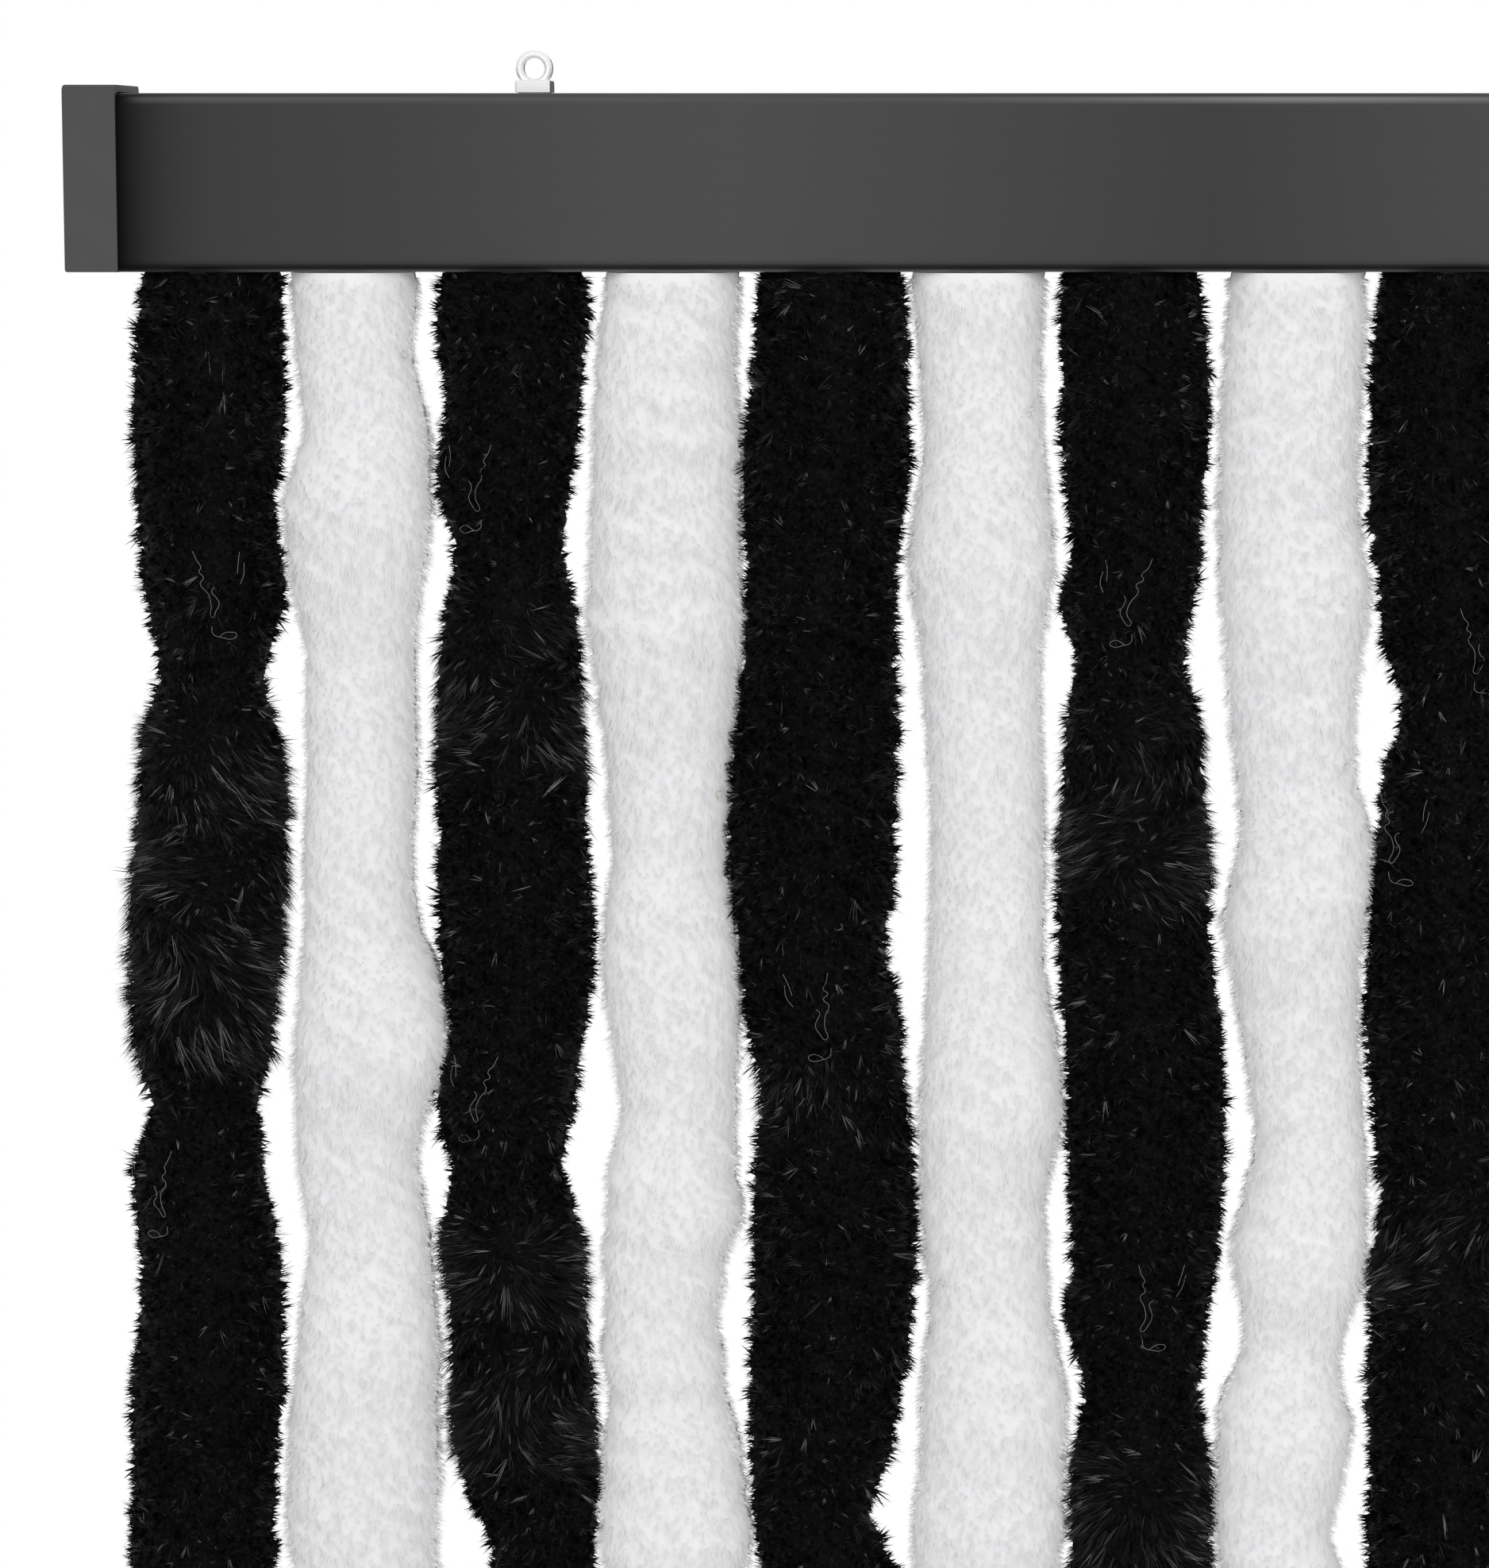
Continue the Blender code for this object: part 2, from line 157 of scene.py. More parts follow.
# The strands in the picture: drop below the rail, shift to the right and radius, in its own mm
SEEN_STRANDS = {
    1: [
        (0, 1.5, 17.3), (25, 0.5, 18.8), (45, 0.5, 18.3), (62, -0.5, 17), (81, 1.9, 17.6),
        (91, 2.4, 15), (102, 1.5, 12.8), (114, 0.5, 17.3), (136, 1.5, 19.5), (166, -0.5, 19.5),
        (189, -0.5, 18.2), (207, -0.5, 12.8), (222, -2.6, 16.3), (247, 1.5, 17.3), (277, 0.5, 18.6),
        (312, -1.5, 17.6),
    ],
    2: [
        (0, -1.9, 16.1), (20, -1.8, 14.5), (40, 1.4, 15.9), (58, -1, 19), (73, -1.2, 17.3),
        (94, -0.3, 13.8), (121, 0.2, 14), (151, -0.9, 14.1), (163, 0.2, 14.4), (173, 2.3, 17.3),
        (195, 2.6, 19.8), (217, -1.4, 15.6), (242, 2.1, 14.9), (267, 1.8, 18.4), (292, 0.5, 19),
        (312, 0.3, 18.8),
    ],
    3: [
        (0, -0.8, 18.6), (16, -1.3, 19.2), (35, -0.8, 17.2), (53, -3.3, 17.2), (69, -1.8, 13.4),
        (86, -1.8, 17.2), (106, -1.8, 19), (136, -0.8, 19), (166, -0.3, 19.7), (186, 0.7, 17.4),
        (207, -2.8, 17.4), (224, -2.3, 13.8), (242, -1.3, 18.4), (264, 0.7, 17.8), (287, 1.7, 18.8),
        (304, 4.2, 16.8), (320, 7.3, 12.2),
    ],
    4: [
        (0, 0.9, 17.6), (20, -1, 17.8), (30, -1.2, 18.6), (60, -1.5, 19.2), (87, -1, 20.3),
        (111, -1, 17.2), (146, 0, 14.8), (171, -0.5, 17.8), (191, 1, 17), (199, 1.3, 15.4),
        (209, 2.2, 14.9), (226, 0.1, 16.6), (236, 1.5, 18.2), (243, -2, 16), (254, -1.5, 15.2),
        (262, -2.7, 14.5), (270, -2.1, 15.9), (279, -0.8, 14.5), (287, 0, 17), (314, 1.5, 19.8),
    ],
    5: [
        (0, 1.2, 18), (15, 1.2, 20.2), (45, 0.2, 21.4), (71, -0.8, 19.5), (96, -1.8, 19.7),
        (131, -3.3, 21.6), (149, -3.3, 21.8), (169, -3.8, 18.7), (186, -0.8, 20.2), (205, 2.2, 18.9),
        (237, 2.2, 21.4), (267, 1.2, 20.4), (292, -0.8, 18.5), (310, -3.8, 14.7),
    ],
    6: [
        (0, -0.8, 17.9), (20, -0.3, 15.7), (45, 1.2, 15.9), (73, -0.3, 19.3), (96, 0.2, 15.5),
        (131, 1.7, 14.9), (171, 1.2, 15.1), (191, 2.7, 17.3), (210, 2.7, 19.1), (232, 0.2, 16.1),
        (257, 2.7, 15.7), (282, 3.2, 19.1), (314, 1.7, 19.6),
    ],
    7: [
        (0, -1.2, 18.2), (30, -0.2, 19.4), (48, 0.2, 18.4), (73, 0.2, 16.8), (83, -2.8, 17.8),
        (98, -1.2, 13.6), (113, -0.2, 17.8), (141, -0.8, 20.1), (166, -0.2, 19.6), (197, 2.2, 20.5),
        (227, 2.8, 20.3), (247, 2.2, 18), (260, -0.2, 19.2), (279, 1.8, 14.4), (295, 1.2, 18.2),
        (314, 1.2, 18.4),
    ],
    8: [
        (0, 1.8, 17.9), (25, 0.3, 18.3), (60, -0.2, 18.3), (81, 0.8, 19.8), (101, 0.3, 17.1),
        (126, 1.8, 15.7), (140, 4, 17), (153, 2.2, 18.9), (163, 0.2, 18.7), (176, 1.3, 16.3),
        (202, 3.8, 14.7), (217, 4.8, 14.3), (242, 1.8, 17.9), (253, 2.7, 16.4), (262, 1.5, 13.4),
        (270, 0.4, 13), (279, -2.3, 15.9), (288, -1.6, 17.9), (314, -4.2, 14.9),
    ],
    9: [
        (0, 2.6, 19.6), (30, 0.6, 19.7), (60, -0.4, 19.5), (81, 1.1, 18.4), (93, 1.6, 17.6),
        (104, 2.1, 13.6), (117, 2.1, 14), (123, 1.1, 17.4), (161, -0.4, 19.5), (197, -0.4, 19.7),
        (227, 1.1, 18.2), (252, 0.1, 19.7), (312, -0.4, 19.5),
    ],
}
SEEN_DROP = 330

# Stretches of longer, combed pile on the black strands seen in the picture, from and to, in mm
COMBED = {
    1: [(106, 196)],
    3: [(83, 124), (236, 298)],
    5: [(196, 214)],
    7: [(107, 155), (290, 330)],
    9: [(224, 256)],
}

STRAY_THICKNESS = 0.13 * MM
STRAY_PITCH = 190

# Stray yarn on the strands seen in the picture: drop, place across and side, in mm
STRAY_YARN = {
    1: [(68, 1, 1), (217, -6, -1)],
    3: [(42, -4, -1), (193, -4, -1)],
    5: [(172, 3, -1)],
    7: [(70, 2, -1), (245, 1, 1)],
    9: [(82, 4, 1), (129, -15, 1)],
    2: [(18.5, 14, -1), (233, -13, 1)],
    4: [(127, 14, -1)],
    6: [(32, 13, -1), (249, -12, 1)],
    8: [(120, 13, -1)],
}

# The rail's paint from a cap's mouth to the rail's middle, with painted shade by the caps and a broad painted
# reflection further along: distance in mm and grey
RAIL_SHADE_AND_REFLECTION = [
    (0, 0.0005), (0.8, 0.0005), (2, 0.0043), (4, 0.0105), (6.4, 0.0172), (10.8, 0.028), (16, 0.035),
    (22.4, 0.0415), (40, 0.046), (64, 0.049), (122, 0.064), (150, 0.065), (208, 0.054), (267, 0.041),
]

# A highlight painted on the rail's rounded upper edge: place along the rail in mm and grey that it adds
RAIL_PAINTED_HIGHLIGHT = [
    (-250, 0.050), (-187, 0.028), (-110, 0.011), (-69, 0.020), (-29, 0.065), (12, 0.145), (26, 0.15),
    (53, 0.10), (80, 0.055), (110, 0.030), (187, 0.028), (250, 0.050),
]

# Painted shade just above the rail's lower edge, and a painted highlight on the lip below it: height in mm and
# share of the paint's tone
RAIL_FOOT_SHADE_AND_LIP_HIGHLIGHT = [
    (0, 2.0), (0.3, 2.0), (0.5, 1.1), (0.77, 0.35), (1.16, 0.15), (1.55, 0.25), (1.94, 0.54), (2.3, 0.77),
    (2.7, 0.87), (3.2, 1.0),
]

# The floor's half width, and how far below the strands it lies
FLOOR_HALF_WIDTH = 3.0
FLOOR_GAP = 20 * MM

# The lines that stray yarn follows, in short wisps and in tangles: across and down, in mm
WISP = [
    [(0, 0), (0.4, 0.7), (1.2, 1.1), (1.5, 1.9), (0.9, 2.7), (1.3, 3.6)],
    [(0.8, 1), (0.1, 1.7), (0.6, 2.3), (1.7, 2.6)],
]
TANGLE = [
    [(-2, 0), (-1.2, 2.4), (-0.3, 4), (-0.9, 5.1), (0.3, 6.4), (-0.6, 8), (0.7, 10.4), (1.3, 13.2),
     (0.9, 16.4), (2.4, 14.8), (3.1, 12.9), (2.4, 11.4), (1.9, 9.8), (2.6, 8.9)],
    [(0.6, 18.6), (0.9, 20.6), (3.1, 21.4), (5.8, 21.7), (6.3, 20.9), (5.1, 20.1), (3.6, 20.4), (2.5, 21.3)],
    [(9.3, 0.4), (8.7, 2.6), (8.1, 5.6)],
    [(9.6, 3.2), (9.3, 6.1), (8.2, 8.3)],
]


def bump_between(drop, start, end, edge):
    """1 between two drops and 0 outside them, with smooth edges."""
    return 0.25 * (1 + np.tanh((drop - start) / edge)) * (1 + np.tanh((end - drop) / edge))


def nearness(drop):
    """1 on the stretch just below the rail and 0 further down, with a smooth change."""
    return 0.5 * (1 - np.tanh((drop - CLOSE_DROP) / CLOSE_EDGE))


def pile_of(colour):
    """The values of one colour's pile."""
    return {name: pair[colour == "white"] for name, pair in PILE_VALUES.items()}


def placed_by(weight, fine, shares):
    """Drops at the given shares of a weight's running total."""
    total = np.cumsum(weight)
    total = (total - total[0]) / (total[-1] - total[0])
    return np.interp(shares, total, fine)


class Picture:
    """The camera that takes the picture: it looks down a little, opposite the curtain's middle."""

    def __init__(self):
        pixel = -CAP_LOW.x / (VANISHING_COLUMN - CAP_EDGE_COLUMN)
        above = (AXIS_ROW - RAIL_LOWER_ROW) * pixel
        self.focal = CAMERA_DISTANCE / pixel
        self.tilt = math.atan((AXIS_ROW - VANISHING_ROW) / self.focal)
        self.sine, self.cosine = math.sin(self.tilt), math.cos(self.tilt)
        self.y = CAP_LOW.y - CAMERA_DISTANCE * self.cosine - above * self.sine
        self.z = RAIL_LOW + CAMERA_DISTANCE * self.sine - above * self.cosine

    def camera(self):
        """The camera itself, shifted to the picture's frame."""
        made = bpy.data.cameras.new("picture_camera")
        held = bpy.data.objects.new("picture_camera", made)
        bpy.context.scene.collection.objects.link(held)
        bpy.context.scene.camera = held
        made.sensor_width = CAMERA_SENSOR * 1000
        made.lens = made.sensor_width * self.focal / PICTURE_HEIGHT
        made.shift_x = (PICTURE_WIDTH / 2 - VANISHING_COLUMN) / PICTURE_HEIGHT
        made.shift_y = (AXIS_ROW - PICTURE_HEIGHT / 2) / PICTURE_HEIGHT
        held.location = (0, self.y, self.z)
        held.rotation_euler = (math.pi / 2 - self.tilt, 0, 0)
        made.clip_start = 0.01
        made.clip_end = 50

    def on_strands(self, column, row):
        """The point of the strands' middle plane at a pixel, across and up, and the size of a pixel there."""
        down = (row - AXIS_ROW) / self.focal
        far = -self.y / (self.cosine - down * self.sine)
        across = far * (column - VANISHING_COLUMN) / self.focal
        return across, self.z - far * (self.sine + down * self.cosine), far / self.focal


def seen_stations(number, x):
    """Drops, shifts and radii in mm of the stretch of a strand that the picture shows."""
    picture = Picture()

    # A round strand looks wider the further it stands to the side, and less so from further away
    slant = math.hypot(1, x / SEEN_DISTANCE) / math.hypot(1, x / picture.y)
    stations = []
    for drop, shift, radius in SEEN_STRANDS.get(number, []):
        column = VANISHING_COLUMN + SEEN_PIXELS * (x / MM + shift)
        across, height, pixel = picture.on_strands(column, SEEN_TOP_ROW + SEEN_PIXELS * drop)
        shown = radius * SEEN_PIXELS * pixel / MM
        stations.append(((RAIL_LOW - height) / MM, (across - x) / MM, shown * slant))
    return stations


def strand_stations(number, colour, x):
    """Drops, shifts and radii down one strand: as seen where the picture shows it, then more of the same."""
    draw = np.random.default_rng(1000 + number)
    pile = pile_of(colour)
    full = pile["radius"] / MM
    stations = seen_stations(number, x)
    drop = stations[-1][0] if stations else -draw.uniform(0, 60)
    end = FULL_DROP / MM
    while drop < end - 60:
        # A swell has two wide stations, one where it narrows, and a neck
        swell = draw.uniform(70, 150)
        stations += [
            (drop + 0.28 * swell, draw.uniform(-1.5, 1.5), full * draw.uniform(0.96, 1.02)),
            (drop + 0.72 * swell, draw.uniform(-2, 2), full * draw.uniform(0.94, 1.02)),
            (drop + 0.88 * swell, draw.uniform(-2, 2), full * draw.uniform(0.84, 0.94)),
            (drop + swell, draw.uniform(-1, 1), full * draw.uniform(*pile["necks"])),
        ]
        drop += swell
    stations = [item for item in stations if item[0] < end - 30]
    stations += [(end - 14, 0, full * 0.92), (end, 0, full * 0.42)]
    return [np.array(column) * MM for column in zip(*stations)]


def combed_stretches(number):
    """The combed stretches of a black strand: as seen, then at random below that."""
    draw = np.random.default_rng(3000 + number)
    stretches = list(COMBED.get(number, []))
    drop = SEEN_DROP if number in SEEN_STRANDS else 0
    while drop < FULL_DROP / MM:
        drop += draw.uniform(60, 200)
        length = draw.uniform(35, 90)
        stretches.append((drop, drop + length))
        drop += length
    return stretches


class Strand:
    """Where one strand's middle line and surface lie, at any drop and turn."""

    def __init__(self, name):
        self.number = int(name.split("_")[1])
        self.colour = name.split("_")[2]
        low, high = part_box(name)
        self.x = (low.x + high.x) / 2
        self.pile = pile_of(self.colour)
        self.fine = np.arange(-20 * MM, FULL_DROP + 20 * MM, 1 * MM)
        drops, shifts, radii = strand_stations(self.number, self.colour, self.x)
        self.shifts = self.smoothed(drops, shifts)
        self.radii = self.smoothed(drops, radii)
        self.slopes = np.gradient(self.radii, self.fine)
        self.combing = np.zeros_like(self.fine)
        if self.colour == "black":
            for start, end in combed_stretches(self.number):
                self.combing += bump_between(self.fine, start * MM, end * MM, 4 * MM)

        # Waves 0 to 11 are slow, 12 to 29 quick and 30 to 43 fine, each with how often it goes round
        draw = np.random.default_rng(2000 + self.number)
        slow = [(draw.uniform(20, 80), draw.integers(-2, 3)) for _ in range(12)]
        quick = [(draw.uniform(5, 13), draw.integers(-9, 10)) for _ in range(18)]
        fine = [(draw.uniform(3.6, 7), draw.integers(-20, 21)) for _ in range(14)]
        waves = slow + quick + fine
        self.waves = [(length * MM, around, draw.uniform(0, math.tau)) for length, around in waves]

    def smoothed(self, drops, values):
        """Values at every fine drop, with their corners rounded."""
        blur = np.hanning(13)
        padded = np.pad(np.interp(self.fine, drops, values), len(blur) // 2, "edge")
        return np.convolve(padded, blur / blur.sum(), "valid")

    def waving(self, drop, turn, first, count):
        """Smooth uneven values near -1 to 1, from some of the strand's own waves."""
        total = np.zeros(np.broadcast(drop, turn).shape)
        for length, around, start in self.waves[first : first + count]:
            total += np.sin(math.tau * drop / length + around * turn + start)
        return total / math.sqrt(count)

    def combed(self, drop):
        """How much of the long combed pile there is at a drop, from 0 to 1."""
        return np.interp(drop, self.fine, self.combing)

    def body_share(self, drop):
        """How far the pile's body reaches, as a share of the strand's radius."""
        return self.pile["body_share"] + (COMBED_BODY_SHARE - self.pile["body_share"]) * self.combed(drop)

    def middle(self, drop):
        """The middle line's points."""
        across = self.x + np.interp(drop, self.fine, self.shifts)
        return np.stack([across, np.zeros_like(drop), RAIL_LOW - drop], -1)

    def radius(self, drop, turn):
        """The radius to the pile's tips, with slow waves and small tufts."""
        uneven = 0.02 * self.waving(drop, turn, 0, 4) + 0.018 * self.waving(drop, turn, 12, 6)
        return np.interp(drop, self.fine, self.radii) * (1 + uneven)

    def slope(self, drop):
        """How fast the radius grows with the drop."""
        return np.interp(drop, self.fine, self.slopes)


def foot_share(drop):
    """How far a strand reaches at its lower end, where it rounds off, as a share of its full reach."""
    return np.sqrt(np.clip((FULL_DROP - FOOT_LENGTH - drop) / FOOT_LENGTH, FOOT_LEAST, 1))


def outward(turn):
    """Unit vectors straight out from a strand's middle, turn 0 being towards the front."""
    return np.stack([np.sin(turn), -np.cos(turn), np.zeros_like(turn)], -1)


def sideways(turn):
    """Unit vectors around a strand's middle, the way that the turn grows."""
    return np.stack([np.cos(turn), np.sin(turn), np.zeros_like(turn)], -1)


def unit(vectors):
    """The same vectors with a length of 1."""
    return vectors / np.linalg.norm(vectors, axis=-1, keepdims=True)


def soft_normals(strand, drop, turn, unevenness):
    """Normals for the white pile, which lets light through, so that it shades far less to its sides."""
    flat = outward(turn)
    flat[..., 0] *= SIDE_SHADE_SHARE
    flat[..., 1] = -np.tanh(FRONT_SPREAD * np.cos(turn))
    flat[..., 0] += unevenness * strand.waving(drop, turn, 12, 8)
    flat[..., 2] += unevenness * strand.waving(drop, turn, 20, 8)
    return unit(flat)


def cell_corners(rings, sides):
    """Numbers of a tube's points at each cell's four corners: two on one ring, then two on the next."""
    ring = np.arange(sides)
    following = (ring + 1) % sides
    here = (np.arange(rings - 1) * sides)[:, None]
    a, b = here + ring, here + following
    return a, b, b + sides, a + sides


def body_rings(strand):
    """Drops, turns and reaches of the body's rings, the hollow's first, and the drops of the outer ones."""
    bottom = FULL_DROP - FOOT_LENGTH
    fine = np.linspace(TOP_GAP, bottom, FINE_STEPS)
    rings_per_metre = 1 / FAR_STEP + (1 / CLOSE_STEP - 1 / FAR_STEP) * nearness(fine)
    count = int(rings_per_metre.mean() * (bottom - TOP_GAP))
    outer = placed_by(rings_per_metre, fine, np.linspace(0, 1, count))
    turns = np.arange(BODY_SIDES) * math.tau / BODY_SIDES
    drops, around = np.meshgrid(outer, turns, indexing="ij")
    lip = np.clip(0.99 + (drops - TOP_GAP) / (100 * MM), 0, 1)
    lumps = 1 + strand.pile["lumps"] * strand.waving(drops, around, 30, 14)
    reaches = strand.radius(drops, around) * strand.body_share(drops) * lip * lumps
    reaches *= foot_share(drops)

    # The hollow goes from its floor up and out to the lip
    depths = np.array([HOLLOW_DEPTH, HOLLOW_DEPTH - 1 * MM, 3 * MM, TOP_GAP + 1 * MM, TOP_GAP + 0.2 * MM])
    widths = np.array([0.7, 1, 1, 1.3, 2.4]) * HOLLOW_RADIUS
    drops = np.concatenate([np.repeat(depths[:, None], BODY_SIDES, 1), drops])
    reaches = np.concatenate([np.repeat(widths[:, None], BODY_SIDES, 1), reaches])
    return drops, np.repeat(turns[None], len(drops), 0), reaches, outer


def body_faces(rings):
    """Triangles of the body, then of its hollow's floor and of its foot, whose middle points come last."""
    a, b, c, d = cell_corners(rings, BODY_SIDES)
    sides = np.concatenate([np.stack([a, d, c], -1), np.stack([a, c, b], -1)]).reshape(-1, 3)
    ring = np.arange(BODY_SIDES)
    following = (ring + 1) % BODY_SIDES
    floor_point = rings * BODY_SIDES
    last = (rings - 1) * BODY_SIDES
    hollow_floor = np.stack([np.full(BODY_SIDES, floor_point), ring, following], -1)
    foot_end = np.stack([np.full(BODY_SIDES, floor_point + 1), last + following, last + ring], -1)
    return np.concatenate([sides, hollow_floor, foot_end])


def flat_points(u, v):
    """Points of the body's strip in texture space."""
    u, v = np.broadcast_arrays(u, v)
    return np.stack([u * (BODY_STRIP - STRIP_RIM), STRIP_RIM + v * (1 - 2 * STRIP_RIM)], -1)


def body_layout(rings):
    """The same triangles laid out flat in a strip of texture space."""
    near_u = np.arange(BODY_SIDES) / BODY_SIDES
    far_u = (np.arange(BODY_SIDES) + 1) / BODY_SIDES
    top_v = (np.arange(rings - 1) / (rings - 1))[:, None]
    low_v = top_v + 1 / (rings - 1)
    a, b = flat_points(near_u, top_v), flat_points(far_u, top_v)
    c, d = flat_points(far_u, low_v), flat_points(near_u, low_v)
    layout = [np.stack([a, d, c], -2), np.stack([a, c, b], -2)]
    layout = [half.reshape(-1, 3, 2) for half in layout]
    middle_u = (near_u + far_u) / 2
    top, below = np.zeros(BODY_SIDES), np.ones(BODY_SIDES)
    rim = STRIP_RIM / (1 - 2 * STRIP_RIM)
    for level, beyond, first, second in ((top, -rim, near_u, far_u), (below, rim, far_u, near_u)):
        corners = [flat_points(middle_u, level + beyond), flat_points(first, level), flat_points(second, level)]
        layout.append(np.stack(corners, -2))
    return np.concatenate(layout)


def body_of(strand):
    """The closed body that the tufts stand on: points, faces, soft normals, flat layout and middle line."""
    drops, turns, reaches, outer = body_rings(strand)
    points = strand.middle(drops) + outward(turns) * reaches[..., None]
    ends = strand.middle(np.array([HOLLOW_DEPTH, FULL_DROP - FOOT_LENGTH + 1 * MM]))
    verts = np.concatenate([points.reshape(-1, 3), ends])
    soft = soft_normals(strand, drops, turns, UNEVENNESS).reshape(-1, 3)
    normals = np.concatenate([soft, [(0, 0, 1), (0, 0, -1)]])
    return verts, body_faces(len(drops)), normals, body_layout(len(drops)), strand.middle(outer)


def tuft_roots(strand, draw):
    """Drops and turns of the roots, even all round and closer together where the picture looks."""
    fine = np.linspace(1.2 * MM, FULL_DROP - 8 * MM, FINE_STEPS)
    weight = np.interp(fine, strand.fine, strand.radii) * (1 + (CLOSE_DENSITY - 1) * nearness(fine))
    weight *= 1 + 0.3 * strand.combed(fine)
    order = (np.arange(TUFTS) + draw.uniform(0, 1, TUFTS)) / TUFTS
    golden = math.pi * (3 - math.sqrt(5))
    turn = (np.arange(TUFTS) * golden + draw.normal(0, 0.05, TUFTS)) % math.tau
    return placed_by(weight, fine, order), turn


def clumps_of(strand, drop, turn, draw):
    """How far each tuft is from its clump's middle, down and around, and how far the clump stands out."""
    size = strand.pile["clump"]
    columns = round(math.tau * strand.pile["radius"] / size)
    column = (turn / math.tau * columns).astype(int)
    offset = column * GOLDEN_SHARE
    row = (drop / size + offset).astype(int)
    shape = (row.max() + 1, columns)
    down = (row + draw.uniform(0.2, 0.8, shape)[row, column] - offset) * size - drop
    aside = (column + draw.uniform(0.2, 0.8, shape)[row, column]) * math.tau / columns - turn
    standing = np.clip(draw.normal(0, 1, shape), -1.6, 2.2)[row, column]
    return down, aside, standing


def fins_of(strand, turn, draw):
    """Which tufts stand as fins: on a white strand all along its two sides, and fewer further round."""
    chance = (FIN_ZONE - np.abs(np.cos(turn))) / (FIN_ZONE - FIN_FULL)
    return (draw.random(TUFTS) < chance) & (strand.colour == "white")


def lean_of(strand, drop, turn, hair, fin, draw):
    """The way each tuft leans: with the swells, with slow swirls and at random, and less on a fin."""
    pile = strand.pile
    combed = strand.combed(drop)
    swirl = strand.waving(drop, turn, 4, 4)
    swing = strand.waving(drop, turn, 8, 4)
    rough = strand.waving(drop, turn, 18, 6)
    loose = pile["lean"] * (0.5 + 0.4 * hair) * (1 - 0.1 * combed)
    sinking = pile["droop"] - 1.3 * strand.slope(drop) + pile["lean"] * (0.5 * swirl + 0.3 * rough)
    sinking += combed * (0.55 + 0.6 * swirl * np.cos(turn) ** 2) + draw.normal(0, 1, TUFTS) * loose
    turning = pile["lean"] * (0.6 * swing + 0.3 * strand.waving(drop, turn, 24, 6))
    turning += combed * (0.8 * np.sin(2 * turn) + 0.8 * swing) + draw.normal(0, 1, TUFTS) * loose
    sinking *= np.where(fin, FIN_DROOP, 1)
    sinking += FOOT_DROOP * (1 - foot_share(drop))
    return unit(outward(turn) + sideways(turn) * turning[:, None] - UPWARD * sinking[:, None])


def blades_of(strand, turn, lean, fin, draw):
    """The way along which each fan spreads, so that it faces outwards, or front and back on a fin."""
    broadside = np.where(fin[:, None], FIN_BROADSIDE, outward(turn))
    blade = unit(np.cross(lean, broadside + draw.normal(0, strand.pile["facing"], (TUFTS, 3))))
    facing = np.stack([0.25 * np.sin(turn), -np.tanh(4 * np.cos(turn)), np.zeros_like(turn)], -1)
    blade *= np.where(np.sum(np.cross(blade, lean) * facing, -1) < 0, -1, 1)[:, None]
    return blade


def tips_of(strand, root, reach, lean, blade, combed, hair, draw):
    """The tips of each fan, which spread from its root mostly in one plane."""
    pile = strand.pile
    fan = (pile["fan"] * (1 - 0.45 * combed) * (1 - 0.6 * hair))[:, None, None]
    ways = lean[:, None] + blade[:, None] * draw.normal(0, 1, (TUFTS, TIPS, 1)) * fan
    ways = unit(ways + np.cross(blade, lean)[:, None] * draw.normal(0, 0.45, (TUFTS, TIPS, 1)) * fan)
    uneven = (pile["uneven"] * (1 + hair))[:, None]
    lengths = reach[:, None] * (1 + uneven * draw.normal(0, 1, (TUFTS, TIPS)))
    return root[:, None] + ways * lengths[..., None]


def trim(strand, ends, middle, tip_radius, draw):
    """Cuts the tips that stand too far out, and keeps all of them below the rail."""
    apart = ends - middle[:, None]
    apart[..., 2] = 0
    far = np.linalg.norm(apart, axis=-1)
    overhang = np.minimum(draw.exponential(strand.pile["overhang"], (TUFTS, TIPS)), LONGEST_OVERHANG)
    limit = tip_radius[:, None] + overhang
    ends -= apart * (1 - np.minimum(1, limit / far))[..., None]
    ceiling = RAIL_LOW - TOP_GAP / 2 - draw.uniform(0, 0.5 * MM, (TUFTS, TIPS))
    ends[..., 2] = np.minimum(ends[..., 2], ceiling)


def tuft_values(hair, combed, fin, draw):
    """What the finish reads at each point of a tuft: its tone, how near the tip it is, and its kind."""
    bright = draw.uniform(0, 1, TUFTS)
    # Hair fibres get the high tones, which the black finish shows as painted glints
    tone = np.where(hair, 0.6 + 0.4 * bright * bright, 0.65 * bright)
    tone = np.repeat(tone[:, None], TIPS + 2, 1)
    tone[:, 2:] += draw.uniform(-0.12, 0.12, (TUFTS, TIPS))
    share = np.zeros((TUFTS, TIPS + 2))
    share[:, 2:] = 1
    return {
        "tone": np.clip(tone, 0, 1).ravel(),
        "tip": share.ravel(),
        "combing": np.repeat(combed, TIPS + 2),
        "fin": np.repeat(fin.astype(float), TIPS + 2),
    }


